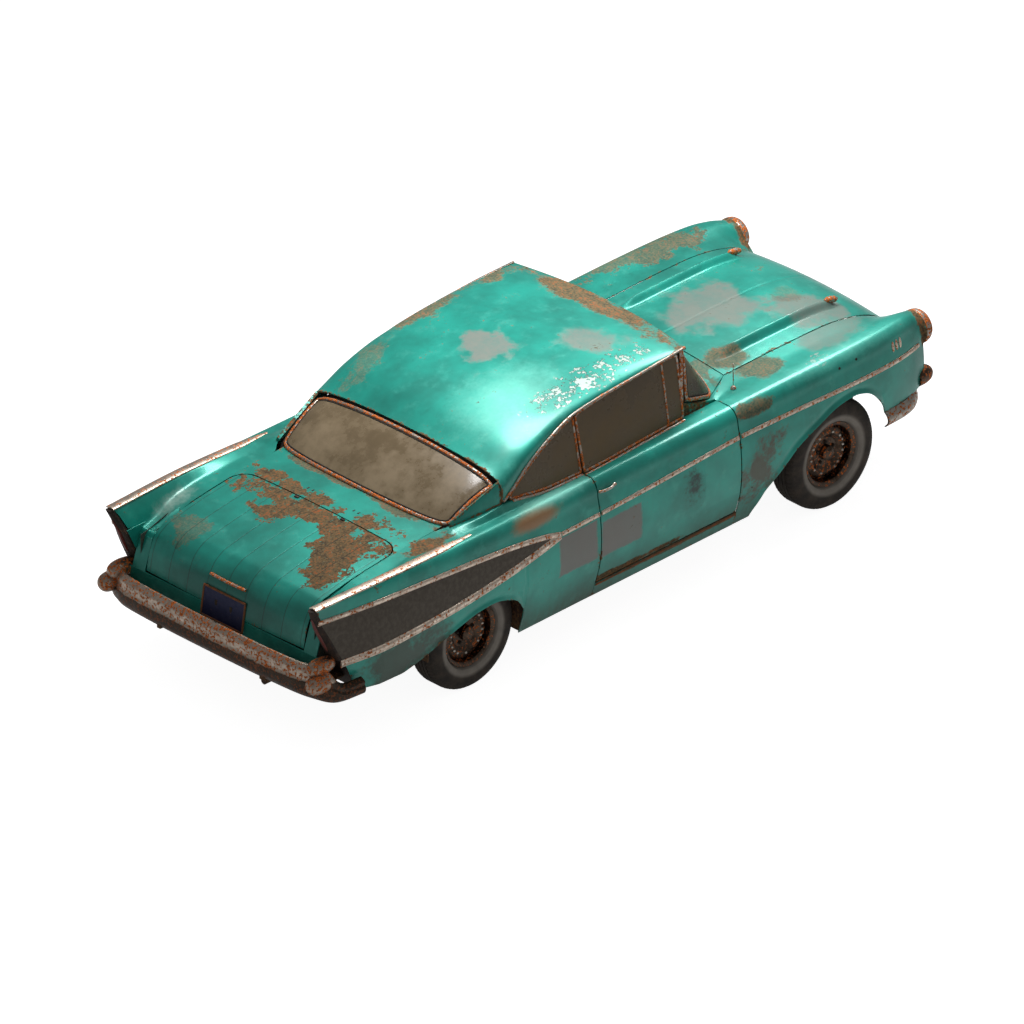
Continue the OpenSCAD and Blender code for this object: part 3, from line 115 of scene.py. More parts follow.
# Body lines of the left side: widest line, how far the side lies inside it, crown, arches, decks
wide = [[finEnd - 75, halfW - 74], [axR - 980, halfW - 34], [axR - 680, halfW - 11], [axR, halfW],
        [doorR, halfW - 6], [doorF, halfW - 12], [axF, halfW - 14], [axF + 400, halfW - 34],
        [axF + 630, halfW - 74], [fenderF, halfW - 116]]
tuck = [[230, 80], [333, 48], [460, 14], [600, 0], [800, 10], [belt - 103, 30]]
shoulder = belt - 103
crownZ = [[finEnd - 75, belt + finRise], [axR - 680, belt + finRise - 4], [axR - 80, belt + 7], [doorR, belt],
          [doorF, belt - 4], [axF, belt - 4], [axF + 400, belt - 8], [axF + 630, belt - 20], [fenderF, belt - 52]]
crownOut = [[finEnd - 75, halfW - 94], [axR - 680, halfW - 74], [axR - 80, halfW - 86], [doorR, halfW - 104],
            [doorF, halfW - 121], [axF, halfW - 124], [axF + 400, halfW - 136], [axF + 630, halfW - 166],
            [fenderF, halfW - 200]]
crownIn = [[finEnd - 75, halfW - 136], [axR - 680, halfW - 120], [axR - 80, halfW - 134],
           [windowR + 300, halfW - 146],
           [doorR, halfW - 144], [doorF - 470, halfW - 168], [doorF, halfW - 190], [axF, halfW - 176],
           [axF + 400, halfW - 190], [axF + 630, halfW - 216], [fenderF, halfW - 246]]
hoodZ = [[doorF, belt - 6], [hoodR, belt - 6], [axF, belt - 4], [axF + 300, belt - 18], [axF + 560, belt - 80],
         [axF + 700, belt - 165], [hoodF, belt - 215]]
archFront = [[axF - 696, 230], [axF - 648, 326], [axF - 610, 392], [axF - 508, 482], [axF - 376, 592],
             [axF - 177, 680],
             [axF - 62, 722], [axF + 60, 738], [axF + 130, 733], [axF + 230, 690], [axF + 310, 600], [axF + 352, 513]]
archRear = [[axR - 800, 372], [axR - 655, 378], [axR - 531, 412], [axR - 283, 503], [axR - 96, 559], [axR + 40, 574],
            [axR + 121, 568], [axR + 189, 545], [axR + 261, 510], [axR + 313, 443], [axR + 336, 392], [archEnd, 230]]
seatZ = [[finEnd - 75, belt - 150], [trunkR, belt - 118], [axR - 930, belt - 74], [axR - 680, belt - 36],
         [trunkF, belt - 10], [deckF, belt + 4], [windowR, belt + 22], [axR + 120, belt + 34], [axR + 335, belt + 52],
         [axR + 640, belt + 6], [doorR, belt - 2]]
quarterEdge = [[trunkF, 644], [deckF - 50, 645], [deckF, 650], [windowR, 692], [axR + 120, 728],
               [axR + 335, halfW - 190], [doorR, halfW - 178]]
quarterFoot = [[finEnd - 75, 752], [axR - 680, 765], [trunkF, 740], [windowR, 735], [axR + 120, 764],
               [axR + 335, halfW - 160], [doorR, halfW - 156]]
deckSideZ = [[trunkR - 82, 640], [trunkR - 70, 740], [trunkR, belt - 128], [axR - 930, belt - 74],
             [axR - 680, belt - 36], [trunkF, belt - 10], [deckF, belt + 4], [windowR + 40, belt + 10]]
glassLowY = [[axR + 335, halfW - 166], [doorR, halfW - 152], [doorF - 470, halfW - 186], [doorF - 270, halfW - 196]]
glassTopY = [[axR + 335, halfW - 178], [doorR, halfW - 236], [doorF - 470, halfW - 262], [doorF - 270, halfW - 252]]
dripZ = [[windowR + 358, belt + 58], [axR + 335, belt + 66], [axR + 520, belt + 190], [axR + 720, belt + 290],
         [doorR, belt + 362], [doorF - 570, belt + 402], [roofF, belt + 416]]
roofCentre = [[roofR, 1262], [axR + 520, 1362], [axR + 820, 1442], [0, 1482], [200, 1486], [doorF - 370, 1464],
              [roofF, 1430]]
roofEdgeZ = [[roofR, belt + 60], [axR + 335, belt + 72], [axR + 520, belt + 206], [axR + 720, belt + 304],
             [doorR, belt + 372], [doorF - 570, belt + 412], [roofF, belt + 424]]
roofEdgeY = [[roofR, halfW - 172], [axR + 335, halfW - 172], [axR + 720, halfW - 206], [doorR, halfW - 224],
             [doorF - 570, halfW - 232], [roofF, halfW - 246]]
roofShape = [[roofR, 0.33], [axR + 720, 0.5], [doorR, 0.7], [roofF, 0.75]]


def lowZ(x):
    front = curve(archFront, x)
    rear = curve(archRear, x)
    return np.where(x > axF + 352, 513, np.where(x > axF - 696, front, np.where(x >= archEnd, 230, rear)))


def topZ(x, y):
    return curve(hoodZ, x) + body["hoodCrown"] * np.maximum(0, 1 - (y / body["hoodSide"]) ** 2)


def deckTop(x, y):
    return curve(deckSideZ, x) + body["deckCrown"] * (1 - (y / body["deckSide"]) ** 2)


def seamY(x):
    return mix(body["hoodSide"], 690, np.clip((hoodR - x) / (hoodR - doorF), 0, 1))


print("stations read")


# One socket of a node tree. Arithmetic on it adds Math nodes
class Wire:
    def __init__(self, tree, socket):
        self.tree, self.socket = tree, socket

    def node(self, kind, settings=None, values=None, output=0):
        made = self.tree.nodes.new(kind)
        for key, value in (settings or {}).items():
            if key == "stops":
                ramp = made.color_ramp
                while len(ramp.elements) < len(value):
                    ramp.elements.new(0.5)
                for element, (place, colour) in zip(ramp.elements, value):
                    element.position, element.color = place, (*colour, 1)
            else:
                setattr(made, key, value)
        for key, value in (values or {}).items():
            if isinstance(value, Wire):
                self.tree.links.new(value.socket, made.inputs[key])
            else:
                made.inputs[key].default_value = value
        return Wire(self.tree, made.outputs[output])

    def maths(self, operation, *values):
        return self.node("ShaderNodeMath", {"operation": operation}, dict(enumerate(values)))

    def __add__(self, other): return self.maths("ADD", self, other)
    def __radd__(self, other): return self.maths("ADD", other, self)
    def __sub__(self, other): return self.maths("SUBTRACT", self, other)
    def __rsub__(self, other): return self.maths("SUBTRACT", other, self)
    def __mul__(self, other): return self.maths("MULTIPLY", self, other)
    def __rmul__(self, other): return self.maths("MULTIPLY", other, self)
    def __truediv__(self, other): return self.maths("DIVIDE", self, other)
    def __pow__(self, other): return self.maths("POWER", self, other)
    def __neg__(self): return self.maths("MULTIPLY", self, -1)

    def highest(self, other): return self.maths("MAXIMUM", self, other)
    def size(self): return self.maths("ABSOLUTE", self)

    def rise(self, low, high):
        return self.node("ShaderNodeMapRange", {"interpolation_type": "SMOOTHSTEP"}, {0: self, 1: low, 2: high})

    def tint(self, below, above):
        ends = [v if isinstance(v, Wire) else (*v, 1) for v in (below, above)]
        return self.node("ShaderNodeMix", {"data_type": "RGBA"}, {0: self, 6: ends[0], 7: ends[1]}, 2)

    def noise(self, scale, detail=3, rough=0.55, stretch=(1, 1, 1), shift=(0, 0, 0)):
        placed = self.node("ShaderNodeMapping", {}, {0: self, 1: shift, 3: stretch})
        return self.node("ShaderNodeTexNoise", {}, {"Vector": placed, "Scale": scale, "Detail": detail,
                                                    "Roughness": rough})

    def wave(self, operation):
        return self.maths(operation, self)

    # Offset from a point, each part over its own radius; its length is 1 on the ellipsoid
    def spread(self, at, radii):
        away = self.node("ShaderNodeVectorMath", {"operation": "SUBTRACT"}, {0: self, 1: at})
        return away.node("ShaderNodeVectorMath", {"operation": "DIVIDE"}, {0: away, 1: radii})

    def length(self):
        return self.node("ShaderNodeVectorMath", {"operation": "LENGTH"}, {0: self}, 1)

    def axis(self, index):
        return self.node("ShaderNodeSeparateXYZ", {}, {0: self}, index)


# Linear colour from the three numbers of a screen colour
def colour(r, g, b):
    return tuple(((c / 255 + 0.055) / 1.055) ** 2.4 if c > 10 else c / 255 / 12.92 for c in (r, g, b))


def newMaterial(name):
    material = bpy.data.materials.new(name)
    material.use_nodes = True
    tree = material.node_tree
    shader = tree.nodes["Principled BSDF"]
    place = Wire(tree, tree.nodes.new("ShaderNodeTexCoord").outputs["Object"])
    return material, shader, place


def setInputs(shader, **values):
    for key, value in values.items():
        socket = shader.inputs[key.replace("_", " ")]
        if isinstance(value, Wire):
            value.tree.links.new(value.socket, socket)
        else:
            socket.default_value = (*value, 1) if isinstance(value, tuple) and len(value) == 3 else value


def edgeOf(place):
    return place.node("ShaderNodeAttribute", {"attribute_name": "edge"}, {}, "Fac")


def bump(height, strength, distance=0.002):
    return height.node("ShaderNodeBump", {}, {"Height": height, "Strength": strength, "Distance": distance})


rustTones = dict(dark=colour(62, 48, 32), mid=colour(92, 74, 46), bright=colour(150, 80, 36),
                 pale=colour(112, 90, 56))


# Rust colour over 0.35 of a coarse noise and 0.65 of a fine one: dark pits, brown scale, pale bloom, orange specks
def rustColour(grain, fine):
    return grain.node("ShaderNodeValToRGB", {"stops": [
        (0.36, rustTones["dark"]), (0.46, rustTones["mid"]), (0.54, rustTones["pale"]), (0.6, rustTones["bright"])]},
        {0: grain * 0.35 + fine * 0.65})


# The worn tone tints worn paint at random, and also colours patches that are painted highlights
paint = dict(teal=colour(22, 166, 148), deep=colour(12, 126, 112), wornAndHighlight=colour(76, 186, 168),
             primer=colour(110, 130, 122), primerWarm=colour(126, 130, 122), stain=colour(84, 56, 34),
             dark=colour(16, 34, 30), oldWhiteAndHighlight=colour(176, 196, 186), oval=colour(176, 116, 66))


# Weathered paint. Each patch is an ellipsoid or a box in the car's frame, in metres, of rust, primer, chips, faded
# or stained paint, painted highlights or painted shade. Its mask rises where 1.25 less the scaled distance, plus
# noise times broken, passes 0.25.
# Rust also creeps in from the panel's edges, by the distance kept in the "edge" attribute
def paintMaterial(name, patches=(), edgeRust=0.3, creases=None, dirtTop=0.5):
    material, shader, place = newMaterial(name)
    large, mid = place.noise(2.2, 4, 0.6), place.noise(9, 5, 0.62, shift=(3, 1, 7))
    wide = place.noise(3.6, 3, 0.5, shift=(8, 3, 2))
    fine, grit = place.noise(46, 4, 0.65), place.noise(210, 3, 0.6)
    streak = place.noise(7, 4, 0.6, stretch=(3.2, 3.2, 0.5))
    edge = edgeOf(place)
    base = large.rise(0.3, 0.72).tint(paint["deep"], paint["teal"])
    base = (mid.rise(0.5, 0.8) * 0.5).tint(base, paint["wornAndHighlight"])
    base = (streak.rise(0.52, 0.8) * 0.35).tint(base, paint["deep"])
    height = place.axis(2)
    grime = height.rise(dirtTop, 0.16) * (0.35 + streak * 0.9)
    base = (grime * 0.75).tint(base, paint["stain"])
    rough = 0.36 + mid * 0.12 + grime * 0.3
    rusts = []
    relief = grit * 0.03
    for patch in patches:
        scaled = place.spread(patch["at"], patch["size"])
        if patch.get("box"):
            away = scaled.axis(0).size().highest(scaled.axis(2 if patch["box"] == "side" else 1).size())
            field = 1.25 - away
        else:
            field = 1.25 - scaled.length()
        broken = patch.get("broken", 0.5)
        kind = patch["kind"]
        crisp = 0.35 if kind == "primer" else 1.3
        ragged = field + (mid - 0.5) * broken * 1.7 + (fine - 0.5) * broken * crisp
        if kind in ("primer", "stain", "rust"):
            ragged = ragged + (wide - 0.5) * broken * 3.4
        mask = ragged.rise(0.25, 0.25 + patch.get("soft", 0.12)) * patch.get("amount", 1.0)
        if kind == "rust":
            rusts.append(mask)
        elif kind == "primer":
            tone = (mid * 0.6 + fine * 0.4).rise(0.38, 0.62).tint(paint["primer"], paint["primerWarm"])
            base = mask.tint(base, tone)
            rough = rough + mask * 0.25
        elif kind == "chips":
            flaking = fine * 0.55 + mid * 0.6 - 0.08 + field * 0.12
            flake = flaking.rise(0.6, 0.615) * mask
            base = (flaking.rise(0.575, 0.59) * mask).tint(base, paint["dark"])
            base = flake.tint(base, paint["oldWhiteAndHighlight"])
            relief = relief - flake * 0.25
        else:
            base = mask.tint(base, patch.get("tone") or paint[kind])
            rough = rough + mask * 0.12
    creep = edge.rise(0.03, 0.0) * edgeRust
    creep = (creep + (mid - 0.5) * 0.9 + (fine - 0.5) * 0.9 - 0.34).rise(0.0, 0.12)
    specks = (fine * 0.5 + mid * 0.3 + large * 0.35).rise(0.69, 0.74)
    scale = (fine * 0.6 + grit * 0.4).rise(0.32, 0.42)
    rustMask = reduce(Wire.highest, rusts + [creep, specks * 0.8]) * (0.25 + scale * 0.75)
    final = rustMask.tint(base, rustColour(place.noise(16, 4, 0.6, shift=(9, 4, 2)),
                                           place.noise(70, 3, 0.6, shift=(2, 8, 5))))
    relief = relief + rustMask * (grit * 0.5 + fine * 0.3)
    # Crease lines across the lid: each is a groove in the bump, and its dark colour is painted shade
    if creases:
        line = (place.axis(1) * (math.tau / creases)).wave("COSINE").rise(0.985, 1.0)
        final = (line * 0.55).tint(final, paint["dark"])
        relief = relief - line * 0.5
    setInputs(shader, Base_Color=final, Roughness=rough + rustMask * 0.5, Metallic=(1 - rustMask) * 0.35,
              Normal=bump(relief, 0.5), Coat_Weight=(1 - rustMask) * 0.5, Coat_Roughness=0.2)
    return material


# Bright metal with rust pits where fine noise passes a level that falls with wear; below a height it is dark, as
# painted shade
def chromeMaterial(name, wear=0.5, tone=colour(196, 190, 180), below=None):
    material, shader, place = newMaterial(name)
    mid, fine, grit = place.noise(14, 4, 0.6), place.noise(58, 3, 0.6), place.noise(150, 2, 0.6)
    pits = (fine * 0.8 + mid * 0.2).rise(0.655 - wear * 0.2, 0.675 - wear * 0.2)
    dull = (mid * 0.6 + fine * 0.4 + wear * 0.25).rise(0.45, 0.7)
    base = (dull * 0.45).tint(tone, colour(124, 108, 94))
    # Painted shade: below the given height the metal turns dark and has fewer pits
    if below:
        under = (place.axis(2) + (mid - 0.5) * 0.03).rise(below + 0.006, below - 0.006)
        base = (under * 0.93).tint(base, colour(34, 24, 16))
        pits = pits * (1 - under * 0.78)
    base = pits.tint(base, grit.rise(0.4, 0.62).tint(colour(132, 76, 40), colour(234, 122, 42)))
    setInputs(shader, Base_Color=base, Metallic=1 - pits * 0.9, Roughness=0.22 + dull * 0.25 + pits * 0.4,
              Normal=bump(fine * 0.3 + pits * 0.5 + grit * 0.2, 0.45, 0.0015))
    return material


# Painted or bare metal of two tones by noise, with rust where the noise is high
def metalMaterial(name, tone, second, rough=0.75, metal=0.3, scale=14, rust=0.5):
    material, shader, place = newMaterial(name)
    mid, fine, grit = place.noise(scale, 4, 0.6), place.noise(scale * 5, 4, 0.6), place.noise(scale * 22, 2, 0.6)
    base = mid.rise(0.35, 0.68).tint(tone, second)
    mask = (mid * 0.5 + fine * 0.5).rise(0.62 - rust * 0.2, 0.7 - rust * 0.2)
    base = (mask * 0.8).tint(base, rustColour(fine, grit))
    setInputs(shader, Base_Color=base, Metallic=metal - mask * metal, Roughness=rough + (fine - 0.5) * 0.2,
              Normal=bump(fine * 0.5 + grit * 0.4, 0.6, 0.002))
    return material


# Glass under a veil of dust: colour, roughness and cover all grow with the veil
def glassMaterial(name, tone, dust, cover):
    material, shader, place = newMaterial(name)
    large, mid, fine = place.noise(3.5, 4, 0.6), place.noise(16, 5, 0.65), place.noise(120, 3, 0.6)
    veil = (large * 0.6 + mid * 0.4).rise(0.34, 0.66)
    base = veil.tint(tone, dust)
    base = (fine.rise(0.55, 0.75) * 0.08).tint(base, colour(40, 26, 18))
    setInputs(shader, Base_Color=base, Roughness=0.16 + veil * 0.35, Alpha=cover + veil * (1 - cover) * 0.9,
              Normal=bump(fine * 0.2 + mid * 0.2, 0.15, 0.001))
    return material


# Rubber of two tones by noise; a pale ring follows the "edge" attribute
def rubberMaterial(name):
    material, shader, place = newMaterial(name)
    mid, fine = place.noise(12, 4, 0.6), place.noise(140, 3, 0.6)
    base = (mid * 0.7 + fine * 0.3).rise(0.35, 0.7).tint(colour(38, 33, 29), colour(74, 64, 54))
    edge = edgeOf(place)
    base = (edge.rise(0.0, 1.0) * (0.5 + mid * 0.6)).tint(base, colour(168, 160, 150))
    setInputs(shader, Base_Color=base, Roughness=0.72 + fine * 0.2, Normal=bump(fine, 0.35, 0.001))
    return material


# Woven cloth: the product of two sine waves is its weave; threads is their rate in radians per metre
def clothMaterial(name, tone, second, threads=1400):
    material, shader, place = newMaterial(name)
    mid, grain = place.noise(8, 5, 0.6), place.noise(260, 2, 0.5)
    weave = (place.axis(0) * threads).wave("SINE") * (place.axis(1) * threads).wave("SINE")
    base = mid.rise(0.35, 0.7).tint(tone, second)
    base = (grain.rise(0.4, 0.7) * 0.4).tint(base, colour(52, 40, 30))
    setInputs(shader, Base_Color=base, Roughness=0.9, Normal=bump(weave * 0.3 + grain * 0.6, 0.4, 0.001))
    return material


def plainMaterial(name, tone, rough=0.5, metal=0.0, variation=0.25):
    material, shader, place = newMaterial(name)
    mid, fine = place.noise(18, 4, 0.6), place.noise(150, 3, 0.6)
    base = (mid.rise(0.3, 0.75) * variation).tint(tone, colour(96, 82, 66))
    setInputs(shader, Base_Color=base, Roughness=rough + fine * 0.15, Metallic=metal, Normal=bump(fine, 0.15, 0.001))
    return material


print("material makers ready")


# Vertices in millimetres, mirrored for the right side, go into a mesh in metres. The material may be a key of mats.
# The volume is the sum over the faces of a corner's product with the cross product of the next two; where it is
# negative the faces are turned
def putMesh(name, points, faces, material, body="root", side=1, replaces=(), slot="trim", edge=None, weld=False,
            sharp=38):
    points = np.asarray(points, float).reshape(-1, 3) * (1, side, 1)
    faces = [np.asarray(f) for f in faces] if isinstance(faces, list) else [np.asarray(faces)]
    volume = 0
    for f in faces:
        p = points[f]
        for k in range(1, f.shape[1] - 1):
            volume += np.einsum("ij,ij->", p[:, 0], np.cross(p[:, k], p[:, k + 1]))
    if volume < 0:
        faces = [f[:, ::-1] for f in faces]
    mesh = bpy.data.meshes.new(name)
    mesh.from_pydata((points * 0.001).tolist(), [], [row for f in faces for row in f.tolist()])
    if edge is not None:
        layer = mesh.attributes.new("edge", "FLOAT", "POINT")
        layer.data.foreach_set("value", np.asarray(edge, np.float32).reshape(-1))
    if weld:
        work = bmesh.new()
        work.from_mesh(mesh)
        bmesh.ops.remove_doubles(work, verts=work.verts, dist=1e-5)
        bmesh.ops.dissolve_degenerate(work, edges=work.edges, dist=1e-6)
        work.to_mesh(mesh)
        work.free()
    mesh.validate()
    mesh.polygons.foreach_set("use_smooth", np.ones(len(mesh.polygons), bool))
    piece = bpy.data.objects.new(name, mesh)
    bpy.context.scene.collection.objects.link(piece)
    mesh.materials.append(mats[material] if isinstance(material, str) else material)
    mesh.set_sharp_from_angle(angle=math.radians(sharp))
    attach(piece, body)
    if replaces:
        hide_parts(*replaces)
    return piece


def gridFaces(nu, nv, wrapU=False, wrapV=False, start=0):
    ids = np.arange(nu * nv).reshape(nu, nv) + start
    if wrapU:
        ids = np.vstack([ids, ids[:1]])
    if wrapV:
        ids = np.hstack([ids, ids[:, :1]])
    return np.stack([ids[:-1, :-1], ids[:-1, 1:], ids[1:, 1:], ids[1:, :-1]], -1).reshape(-1, 4)


# Closed wall between two grids: the faces of both, and a strip round the edge that joins them
def wall(outer, inner):
    nu, nv, _ = outer.shape
    n = nu * nv
    ids = np.arange(n).reshape(nu, nv)
    ring = np.concatenate([ids[0], ids[1:, -1], ids[-1, -2::-1], ids[-2:0:-1, 0]])
    after = np.roll(ring, -1)
    rim = np.stack([after, ring, ring + n, after + n], -1)
    faces = np.vstack([gridFaces(nu, nv), gridFaces(nu, nv)[:, ::-1] + n, rim])
    return np.vstack([outer.reshape(-1, 3), inner.reshape(-1, 3)]), faces


# Normals of a grid of points, from the cross product of its two directions
def gridNormals(grid):
    return unit(np.cross(np.gradient(grid, axis=0), np.gradient(grid, axis=1)))


# Distance in metres from a grid's border, measured along its rows and columns
def borderDistance(grid):
    along = np.linalg.norm(np.diff(grid, axis=0), axis=-1)
    across = np.linalg.norm(np.diff(grid, axis=1), axis=-1)
    u = np.vstack([np.zeros((1, grid.shape[1])), np.cumsum(along, 0)])
    v = np.hstack([np.zeros((grid.shape[0], 1)), np.cumsum(across, 1)])
    return np.minimum(np.minimum(u, u[-1:] - u), np.minimum(v, v[:, -1:] - v)) * 0.001


# A closed shell between two grids of the same size
def shell(name, front, back, material, body="root", side=1, **more):
    points, faces = wall(front, back)
    return putMesh(name, points, faces, material, body, side, **more)


# A panel: the outer grid, and an inner one at its own thickness behind it
def panel(name, grid, thick, material, body="root", side=1, **more):
    normals = gridNormals(grid)
    centre = grid.reshape(-1, 3).mean(0)
    centre[1] *= 0.3
    centre[2] *= 0.6
    if np.einsum("ijk,ijk->", normals, grid - centre) < 0:
        normals = -normals
    inner = grid - normals * thick
    points, faces = wall(grid, inner)
    edge = borderDistance(grid)
    return putMesh(name, points, faces, material, body, side, edge=np.tile(edge.ravel(), 2), **more)


# Sideways and outward unit vectors along a path, both square to its tangent
def pathFrames(path, up, loop=False):
    tangent = unit(np.roll(path, -1, 0) - np.roll(path, 1, 0) if loop else np.gradient(path, axis=0))
    side = unit(np.cross(tangent, np.broadcast_to(np.asarray(up, float), path.shape)))
    return side, np.cross(side, tangent)


# A profile of [sideways, outward] pairs carried along a path, its ends closed by a fan
def sweep(name, path, up, profile, material, body="root", scale=None, loop=False, side=1, **more):
    path = np.asarray(path, float)
    across, out = pathFrames(path, up, loop)
    profile = np.asarray(profile, float)
    k = np.ones(len(path)) if scale is None else np.asarray(scale, float)
    points = (path[:, None] + across[:, None] * (profile[:, 0] * k[:, None])[..., None]
              + out[:, None] * (profile[:, 1] * k[:, None])[..., None])
    n, m = points.shape[:2]
    faces = [gridFaces(n, m, wrapU=loop, wrapV=True)]
    points = points.reshape(-1, 3)
    if not loop:
        points = np.vstack([points, path[0] + out[0] * profile[:, 1].mean() * k[0],
                            path[-1] + out[-1] * profile[:, 1].mean() * k[-1]])
        ids = np.arange(m)
        after = np.roll(ids, -1)
        faces.append(np.stack([np.full(m, n * m), after, ids], -1))
        last = (n - 1) * m
        faces.append(np.stack([np.full(m, n * m + 1), last + ids, last + after], -1))
    return putMesh(name, points, faces, material, body, side, **more)


# Half-round strip profile of a width and a height, sunk a little at its back
def halfRound(width, height, sink=2.0, count=9):
    a = np.linspace(0, math.pi, count)
    return np.vstack([np.stack([np.cos(a) * width / 2, np.sin(a) * height], -1),
                      [[-width / 2, -sink], [width / 2, -sink]]])


# Beaded strip: two narrow ridges with a groove between them
def doubleBead(width, height, sink=2.0, count=21):
    a = np.linspace(0, math.pi, count)
    y = np.sin(a) * height * (0.55 + 0.45 * np.abs(np.cos(2 * a)))
    return np.vstack([np.stack([np.cos(a) * width / 2, y], -1), [[-width / 2, -sink], [width / 2, -sink]]])


def roundProfile(radius, count=12):
    a = np.linspace(0, math.tau, count, endpoint=False)
    return np.stack([np.cos(a) * radius, np.sin(a) * radius], -1)


# Rounded nose: a smooth row through [radius, height] pairs that never crosses its axis
def noseProfile(points, count):
    row = through(points, count)
    return np.maximum(row, (0, -math.inf))


# A profile of [radius, height] pairs turned round an axis; shape(angle, radius, height) may move it
def turned(profile, count, closed, centre, axis, shape=None):
    profile = np.asarray(profile, float)
    a = np.linspace(0, math.tau, count, endpoint=False)[:, None]
    r, h = (np.broadcast_to(profile[:, 0], (count, len(profile))),
            np.broadcast_to(profile[:, 1], (count, len(profile))))
    if shape is not None:
        r, h = shape(a, r, h)
    z = np.asarray(axis, float) / np.linalg.norm(axis)
    x = np.cross(z, (0, 0, 1) if abs(z[2]) < 0.9 else (1, 0, 0))
    x = x / np.linalg.norm(x)
    y = np.cross(z, x)
    points = (np.asarray(centre, float) + (r * np.cos(a))[..., None] * x + (r * np.sin(a))[..., None] * y
              + h[..., None] * z)
    return points.reshape(-1, 3), gridFaces(count, len(profile), wrapU=True, wrapV=closed)


def lathe(name, profile, count, centre, axis, material, body="root", closed=False, shape=None, side=1, **more):
    points, faces = turned(profile, count, closed, centre, axis, shape)
    return putMesh(name, points, faces, material, body, side, weld=True, **more)


# An outline of [a, b] pairs in the plane of two axes, given a thickness along the third
def plate(name, outline, plane, low, high, material, body="root", side=1, **more):
    outline = np.asarray(outline, float)
    n = len(outline)
    order = {"xz": (0, 2, 1), "yz": (1, 2, 0), "xy": (0, 1, 2)}[plane]
    points = np.zeros((2 * n, 3))
    for half, level in ((0, low), (1, high)):
        points[half * n:(half + 1) * n, order[0]] = outline[:, 0]
        points[half * n:(half + 1) * n, order[1]] = outline[:, 1]
        points[half * n:(half + 1) * n, order[2]] = level
    ids = np.arange(n)
    after = np.roll(ids, -1)
    faces = [np.stack([ids, after, after + n, ids + n], -1), ids[None, ::-1], (ids + n)[None]]
    return putMesh(name, points, faces, material, body, side, sharp=20, **more)


# A block whose edges are rounded by a bevel
def block(name, low, high, material, body="root", radius=4, side=1, **more):
    (x0, y0, z0), (x1, y1, z1) = low, high
    piece = plate(name, [[x0, y0], [x1, y0], [x1, y1], [x0, y1]], "xy", z0, z1, material, body, side=side, **more)
    bevel = piece.modifiers.new("edges", "BEVEL")
    bevel.width, bevel.segments, bevel.limit_method = radius / 1000, 3, "ANGLE"
    return piece


sides = {"left": 1, "right": -1}
print("mesh makers ready")

# Rows of a side section: up to the shoulder at the tuck's depth, then a quarter ellipse to the crown
def sideRows(x, low, rows=24, arc=10):
    f = np.linspace(0, 1, rows) ** 1.25
    z = low[:, None] + (shoulder - low[:, None]) * f
    y = curve(wide, x)[:, None] - curve(tuck, z)
    top, out = curve(crownZ, x)[:, None], curve(crownOut, x)[:, None]
    start = (curve(wide, x) - curve(tuck, shoulder))[:, None]
    a = np.linspace(0, math.pi / 2, arc + 1)[1:]
    return (np.hstack([y, out + (start - out) * np.cos(a)]),
            np.hstack([z, shoulder + (top - shoulder) * np.sin(a)]))


# Straight rows between point arrays, sampled evenly, whose corners are rounded by repeated averaging
def rounded(points, count, soft):
    p = np.stack([np.stack(q, -1) for q in points])
    steps = np.linalg.norm(np.diff(p, axis=0), axis=-1).mean(-1)
    places = np.concatenate([[0], np.cumsum(steps)]) / steps.sum()
    t = np.linspace(0, 1, count)
    i = np.clip(np.searchsorted(places, t, side="right") - 1, 0, len(places) - 2)
    u = ((t - places[i]) / (places[i + 1] - places[i])).reshape(-1, *[1] * (p.ndim - 1))
    row = mix(p[i], p[i + 1], u)
    for _ in range(soft):
        row[1:-1] = (row[:-2] + 2 * row[1:-1] + row[2:]) / 4
    return row


# The rolled lip of a wheel arch: a bell of the distance from the arch's edge
def archLip(x, above):
    near = smooth(x, axF - 690, axF - 640) * (1 - smooth(x, axF + 330, axF + 352))
    near = near + smooth(x, axR - 700, axR - 620) * (1 - smooth(x, archEnd - 14, archEnd))
    away = above / np.sqrt(1 + np.gradient(lowZ(x), x) ** 2)[:, None]
    return near[:, None] * (8 * np.exp(-(away / 13) ** 2) - 4 * np.exp(-((away - 32) / 12) ** 2))


def joinRows(x, y, z, row):
    y = np.hstack([y, row[1:, :, 0].T])
    z = np.hstack([z, row[1:, :, 1].T])
    return np.stack([np.broadcast_to(x[:, None], y.shape), y, z], -1)


# The fin's end is cut on the slant, so the last stations move forward with the depth below the fin's top
tailStart, tailEnd = axR - 800, finEnd - 51


def tailCut(z):
    return np.maximum(0, (belt + finRise - z) * 0.49)


def skinX(x, z):
    cut = tailCut(z) / (tailStart - tailEnd)
    return np.where(x < tailStart, (x - cut * tailStart) / (1 - cut), x)


# Where the side's outer skin lies at a place along the car and a height
def skinY(x, z):
    x = skinX(x, z)
    top, out = curve(crownZ, x), curve(crownOut, x)
    start = curve(wide, x) - curve(tuck, shoulder)
    up = np.clip((z - shoulder) / (top - shoulder), 0, 1)
    return np.where(z <= shoulder, curve(wide, x) - curve(tuck, np.minimum(z, shoulder)),
                    out + (start - out) * np.sqrt(1 - up * up))


def skinNormal(x, z):
    n = np.stack([-(skinY(x + 2, z) - skinY(x - 2, z)) / 4, np.ones_like(x),
                  -(skinY(x, z + 2) - skinY(x, z - 2)) / 4], -1)
    return n / np.linalg.norm(n, axis=-1, keepdims=True)


lamp = dict(y=742, z=850, radius=106, start=axF + 470)


